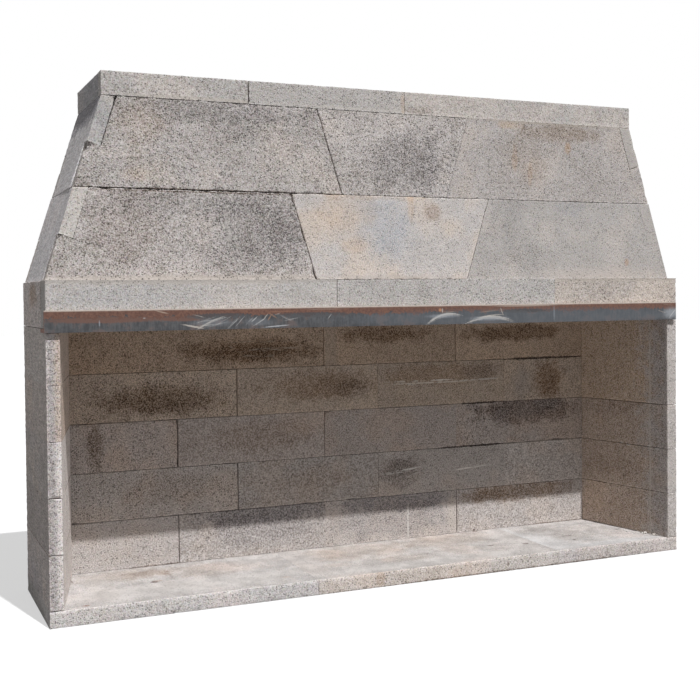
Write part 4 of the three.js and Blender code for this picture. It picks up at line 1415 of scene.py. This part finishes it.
# Lintel: mill scale with rust along its top, and scuffs where blocks were slid over it
lintel = dict(
    rustDepth=0.028,  # below the top edge
    ragged=0.055,
    scaleDark=(0.0435, 0.0445, 0.049),
    scaleLight=(0.100, 0.101, 0.106),
    scaleBrown=(0.14, 0.095, 0.085),
    rustDark=(0.135, 0.069, 0.054),
    rustLight=(0.220, 0.116, 0.086),
    rustBright=(0.30, 0.145, 0.085),
    dustLine=0.0055,
    dust=(0.64, 0.56, 0.50),
    metallic=0.25,
)
cream, chalk = (0.64, 0.59, 0.53), (0.62, 0.62, 0.62)
steelBlue, orange = (0.38, 0.41, 0.46), (0.50, 0.26, 0.15)
rustTone, scaleTone = (0.155, 0.080, 0.060), (0.080, 0.081, 0.087)
lintelScuffs = [
    dust(0.60, 1.020, 0.85, 0.030, 0.5, (0.115, 0.130, 0.150), 0.6),
    dust(-1.12, 1.034, 0.20, 0.010, 0.85, rustTone, 0.6),
    dust(-0.85, 1.034, 0.08, 0.009, 0.85, rustTone, 0.6),
    dust(-0.72, 1.040, 0.11, 0.011, 0.85, scaleTone, 0.6),
    dust(-0.36, 1.040, 0.16, 0.009, 0.85, scaleTone, 0.6),
    dust(0.555, 1.042, 0.10, 0.008, 0.85, scaleTone, 0.6),
    scuff(-0.814, 1.006, 0.034, 0.0028, -0.2, 0.66, cream, 0, 0.34),
    scuff(-0.751, 1.021, 0.050, 0.0022, 0.43, 0.66, cream, 1.5, 0.40),
    scuff(-0.757, 1.0165, 0.044, 0.0018, 0.40, 0.47, chalk, 1.5, 0.42),
    scuff(-0.775, 1.0085, 0.030, 0.0020, 0.10, 0.55, cream, 0, 0.40),
    scuff(-0.768, 1.028, 0.034, 0.0016, 0.30, 0.39, cream, 0, 0.44),
    scuff(-0.705, 1.022, 0.030, 0.0016, 0.50, 0.35, cream, 0, 0.44),
    scuff(-0.640, 1.022, 0.022, 0.0018, 0.80, 0.39, chalk, 0, 0.42),
    scuff(-0.607, 1.020, 0.020, 0.0018, 0.72, 0.39, chalk, 0, 0.42),
    dust(-0.745, 1.018, 0.070, 0.012, 0.20, steelBlue),
    dust(-0.570, 1.018, 0.050, 0.012, 0.20, steelBlue),
    scuff(-0.545, 1.035, 0.014, 0.0022, 0.9, 0.47, cream, 0, 0.40),
    scuff(-0.530, 1.032, 0.012, 0.0022, 1.0, 0.47, orange, 0, 0.40),
    scuff(-0.735, 1.029, 0.045, 0.0025, 0.15, 0.40, chalk),
    scuff(-0.735, 1.01, 0.04, 0.0022, 0.2, 0.33, chalk),
    scuff(-0.795, 1.0425, 0.02, 0.0015, -0.23, 0.53, cream),
    scuff(-0.666, 1.015, 0.026, 0.0037, 0.73, 0.37, chalk),
    scuff(-0.587, 1.028, 0.014, 0.0020, 0.7, 0.60, chalk, 0, 0.36),
    scuff(-0.568, 1.018, 0.026, 0.0022, 0.55, 0.53, chalk),
    scuff(-0.505, 1.001, 0.044, 0.0020, 0.07, 0.63, (0.60, 0.62, 0.65), 0, 0.30),
    scuff(-0.518, 1.04, 0.018, 0.0022, -0.57, 0.60, orange, 0, 0.36),
    scuff(-0.5, 1.044, 0.012, 0.0019, 0.3, 0.53, cream),
    scuff(-0.466, 1.03, 0.024, 0.0022, -0.45, 0.46, chalk),
    scuff(-0.446, 1.025, 0.026, 0.0020, 0.18, 0.46, chalk),
    scuff(-0.295, 1.033, 0.01, 0.0017, 0.9, 0.60, chalk, 0, 0.36),
    scuff(-0.31, 1.0595, 0.07, 0.0014, 0.01, 0.53, (0.50, 0.40, 0.33)),
    scuff(-0.48, 1.054, 0.05, 0.0015, 0.02, 0.40, orange),
    dust(-1.139, 1.022, 0.0024, 0.010, 0.5, steelBlue),
    dust(-0.986, 1.038, 0.0040, 0.0022, 0.4, chalk),
    scuff(-0.924, 1.058, 0.022, 0.0022, -0.25, 0.60, (0.58, 0.47, 0.38), 0, 0.36),
    scuff(0.178, 1.029, 0.060, 0.0070, 0.22, 0.55, (0.52, 0.49, 0.46), 3.4, 0.34),
    scuff(0.385, 1.019, 0.085, 0.0070, 0.03, 0.55, (0.52, 0.49, 0.46), 2.0, 0.34),
    scuff(-0.757, 1.017, 0.045, 0.0040, 0.40, 0.40, (0.52, 0.48, 0.44), 1.5, 0.42),
    scuff(0.182, 1.033, 0.070, 0.0024, 0.20, 0.58, chalk, 3.4, 0.42),
    scuff(0.176, 1.0295, 0.062, 0.0020, 0.24, 0.51, cream, 3.4, 0.44),
    scuff(0.166, 1.025, 0.052, 0.0020, 0.32, 0.39, chalk, 3.4, 0.44),
    dust(0.175, 1.026, 0.060, 0.0070, 0.35, steelBlue),
    scuff(0.388, 1.0225, 0.092, 0.0024, 0.03, 0.66, cream, 2.0, 0.40),
    scuff(0.380, 1.0185, 0.098, 0.0022, 0.03, 0.58, cream, 2.0, 0.42),
    scuff(0.370, 1.015, 0.085, 0.0020, 0.05, 0.47, chalk, 2.0, 0.42),
    scuff(0.410, 1.028, 0.050, 0.0019, 0.05, 0.47, cream, 2.0, 0.42),
    dust(0.385, 1.014, 0.080, 0.0080, 0.35, steelBlue),
    scuff(0.444, 1.041, 0.014, 0.0025, -1.14, 0.60, (0.58, 0.50, 0.43), 0, 0.36),
    dust(0.167, 1.050, 0.0060, 0.0060, 0.9, orange),
    dust(0.177, 1.047, 0.0026, 0.0080, 0.6, cream),
    scuff(0.205, 1.042, 0.024, 0.0019, 0, 0.53, (0.52, 0.38, 0.28)),
    scuff(0.4, 1.044, 0.05, 0.0025, 0.1, 0.40, (0.52, 0.40, 0.31)),
    dust(0.690, 1.032, 0.0028, 0.030, 0.35, steelBlue),
    dust(0.550, 1.0615, 0.130, 0.0026, 0.8, (0.46, 0.38, 0.32)),
    dust(1.285, 1.022, 0.035, 0.020, 0.55, (0.42, 0.44, 0.47), 1.3),
    scuff(1.29, 1.019, 0.022, 0.0022, 0.82, 0.60, chalk, 0, 0.36),
    scuff(1.235, 1.028, 0.018, 0.0020, -0.3, 0.53, (0.50, 0.42, 0.36)),
    scuff(1.264, 1.058, 0.024, 0.0020, -0.15, 0.53, (0.50, 0.42, 0.35)),
]


def millScale():
    material, tree, shader = startMaterial("millScaleSteel")
    place = addNode(tree, "TexCoord").outputs["Object"]
    foot, top = boxes["lintel_angle"]
    streaks = noiseOf(tree, move(tree, "MULTIPLY", place, (120, 60, 22)), 1, 4.0, 0.6).outputs[0]
    mottle = noiseOf(tree, place, 0.045, 4.0, 0.65).outputs[0]
    spots = noiseOf(tree, place, 0.008, 3.0, 0.7).outputs[0]
    colour = {key: (*lintel[key], 1) for key in lintel if isinstance(lintel[key], tuple)}
    mixed = plus(tree, times(tree, streaks, 0.5), times(tree, mottle, 0.5))
    scale = tint(tree, ramp(tree, mixed, 0.38, 0.62), colour["scaleDark"], colour["scaleLight"])
    scale = tint(tree, ramp(tree, mottle, 0.52, 0.64, 0, 0.55), scale, colour["scaleBrown"])
    rust = tint(tree, ramp(tree, spots, 0.3, 0.7), colour["rustDark"], colour["rustLight"])
    bright = noiseOf(tree, move(tree, "MULTIPLY", place, (0.5, 1, 1)), 0.006, 2.0).outputs[0]
    rust = tint(tree, ramp(tree, bright, 0.62, 0.76, 0, 0.45), rust, colour["rustBright"])
    level = axisOf(tree, place, 2)
    uneven = plus(tree, mottle, times(tree, plus(tree, spots, streaks), 0.45))
    edge = plus(tree, times(tree, minus(tree, uneven, 0.95), lintel["ragged"]), level)
    rustFoot, blend = top.z - lintel["rustDepth"], 0.0015
    rusty = ramp(tree, edge, rustFoot - blend, rustFoot + blend)
    behind = ramp(tree, axisOf(tree, place, 1), foot.y + 0.001, foot.y + 0.002)
    rusty = calc(tree, "MAXIMUM", rusty, behind)
    tone = tint(tree, rusty, scale, rust)
    ragged = minus(tree, spots, 0.5)
    for patch in lintelScuffs:
        tone = layOn(tree, tone, patchMask(tree, place, ragged, patch), 1.0, patch)
    dusty = plus(tree, level, times(tree, mottle, 0.002))
    dusty = ramp(tree, dusty, top.z - lintel["dustLine"], top.z, 0, 1.0)
    tone = tint(tree, dusty, tone, colour["dust"])
    tree.links.new(tone, shader.inputs["Base Color"])
    tree.links.new(ramp(tree, rusty, 0, 1, 0.48, 0.85), shader.inputs["Roughness"])
    addBump(tree, shader, plus(tree, spots, times(tree, rusty, 0.4)), 0.0006, 0.7)
    shader.inputs["Metallic"].default_value = lintel["metallic"]
    return material


steel = millScale()
for slot in bpy.data.objects["lintel_angle"].material_slots:
    slot.material = steel
print("lintel finished")

# Light: a sun lamp high in front, a little to the right, with slightly soft shadows, and an even
# surround
lighting = dict(
    keyTurn=12,  # degrees right of straight ahead
    keyHeight=58.0,
    keyStrength=3.35,
    keySoftness=0.9,
    surround=0.19,
)


def seenDirectly(tree):
    rays = addNode(tree, "LightPath").outputs
    return calc(tree, "MAXIMUM", rays["Is Camera Ray"], rays["Is Glossy Ray"])


def makeLights():
    bpy.ops.object.light_add(type="SUN", location=(0, 0, 4))
    key = bpy.context.object
    key.name = "keyLight"
    turn, height = math.radians(lighting["keyTurn"]), math.radians(lighting["keyHeight"])
    flat = math.cos(height)
    towards = Vector((math.sin(turn) * flat, -math.cos(turn) * flat, math.sin(height)))
    key.rotation_mode = "QUATERNION"
    key.rotation_quaternion = towards.to_track_quat("Z", "Y")
    key.data.energy = lighting["keyStrength"]
    key.data.angle = math.radians(lighting["keySoftness"])
    world = bpy.data.worlds.new("surround")
    scene.world = world
    world.use_nodes = True
    tree = world.node_tree
    tree.nodes.clear()
    white = {"Color": (1, 1, 1, 1)}
    soft = addNode(tree, "Background", dict(white, Strength=lighting["surround"])).outputs[0]
    bright = addNode(tree, "Background", white).outputs[0]
    mixed = addNode(tree, "MixShader", {0: seenDirectly(tree), 1: soft, 2: bright}).outputs[0]
    addNode(tree, "OutputWorld", {0: mixed})


def makeFloor():
    bpy.ops.mesh.primitive_plane_add(size=60, location=(0, 0, -0.001))
    floor = bpy.context.object
    floor.name = "paleFloor"
    material, tree, shader = startMaterial("paleFloor")
    seen = seenDirectly(tree)
    tone = tint(tree, seen, (0.32, 0.32, 0.32, 1), (0.5, 0.5, 0.5, 1))
    tree.links.new(tone, shader.inputs["Base Color"])
    shader.inputs["Emission Color"].default_value = (1, 1, 1, 1)
    tree.links.new(times(tree, seen, 0.55), shader.inputs["Emission Strength"])
    shader.inputs["Roughness"].default_value = 1
    shader.inputs["Specular IOR Level"].default_value = 0
    floor.data.materials.append(material)


makeLights()
makeFloor()
print("lights and floor set")
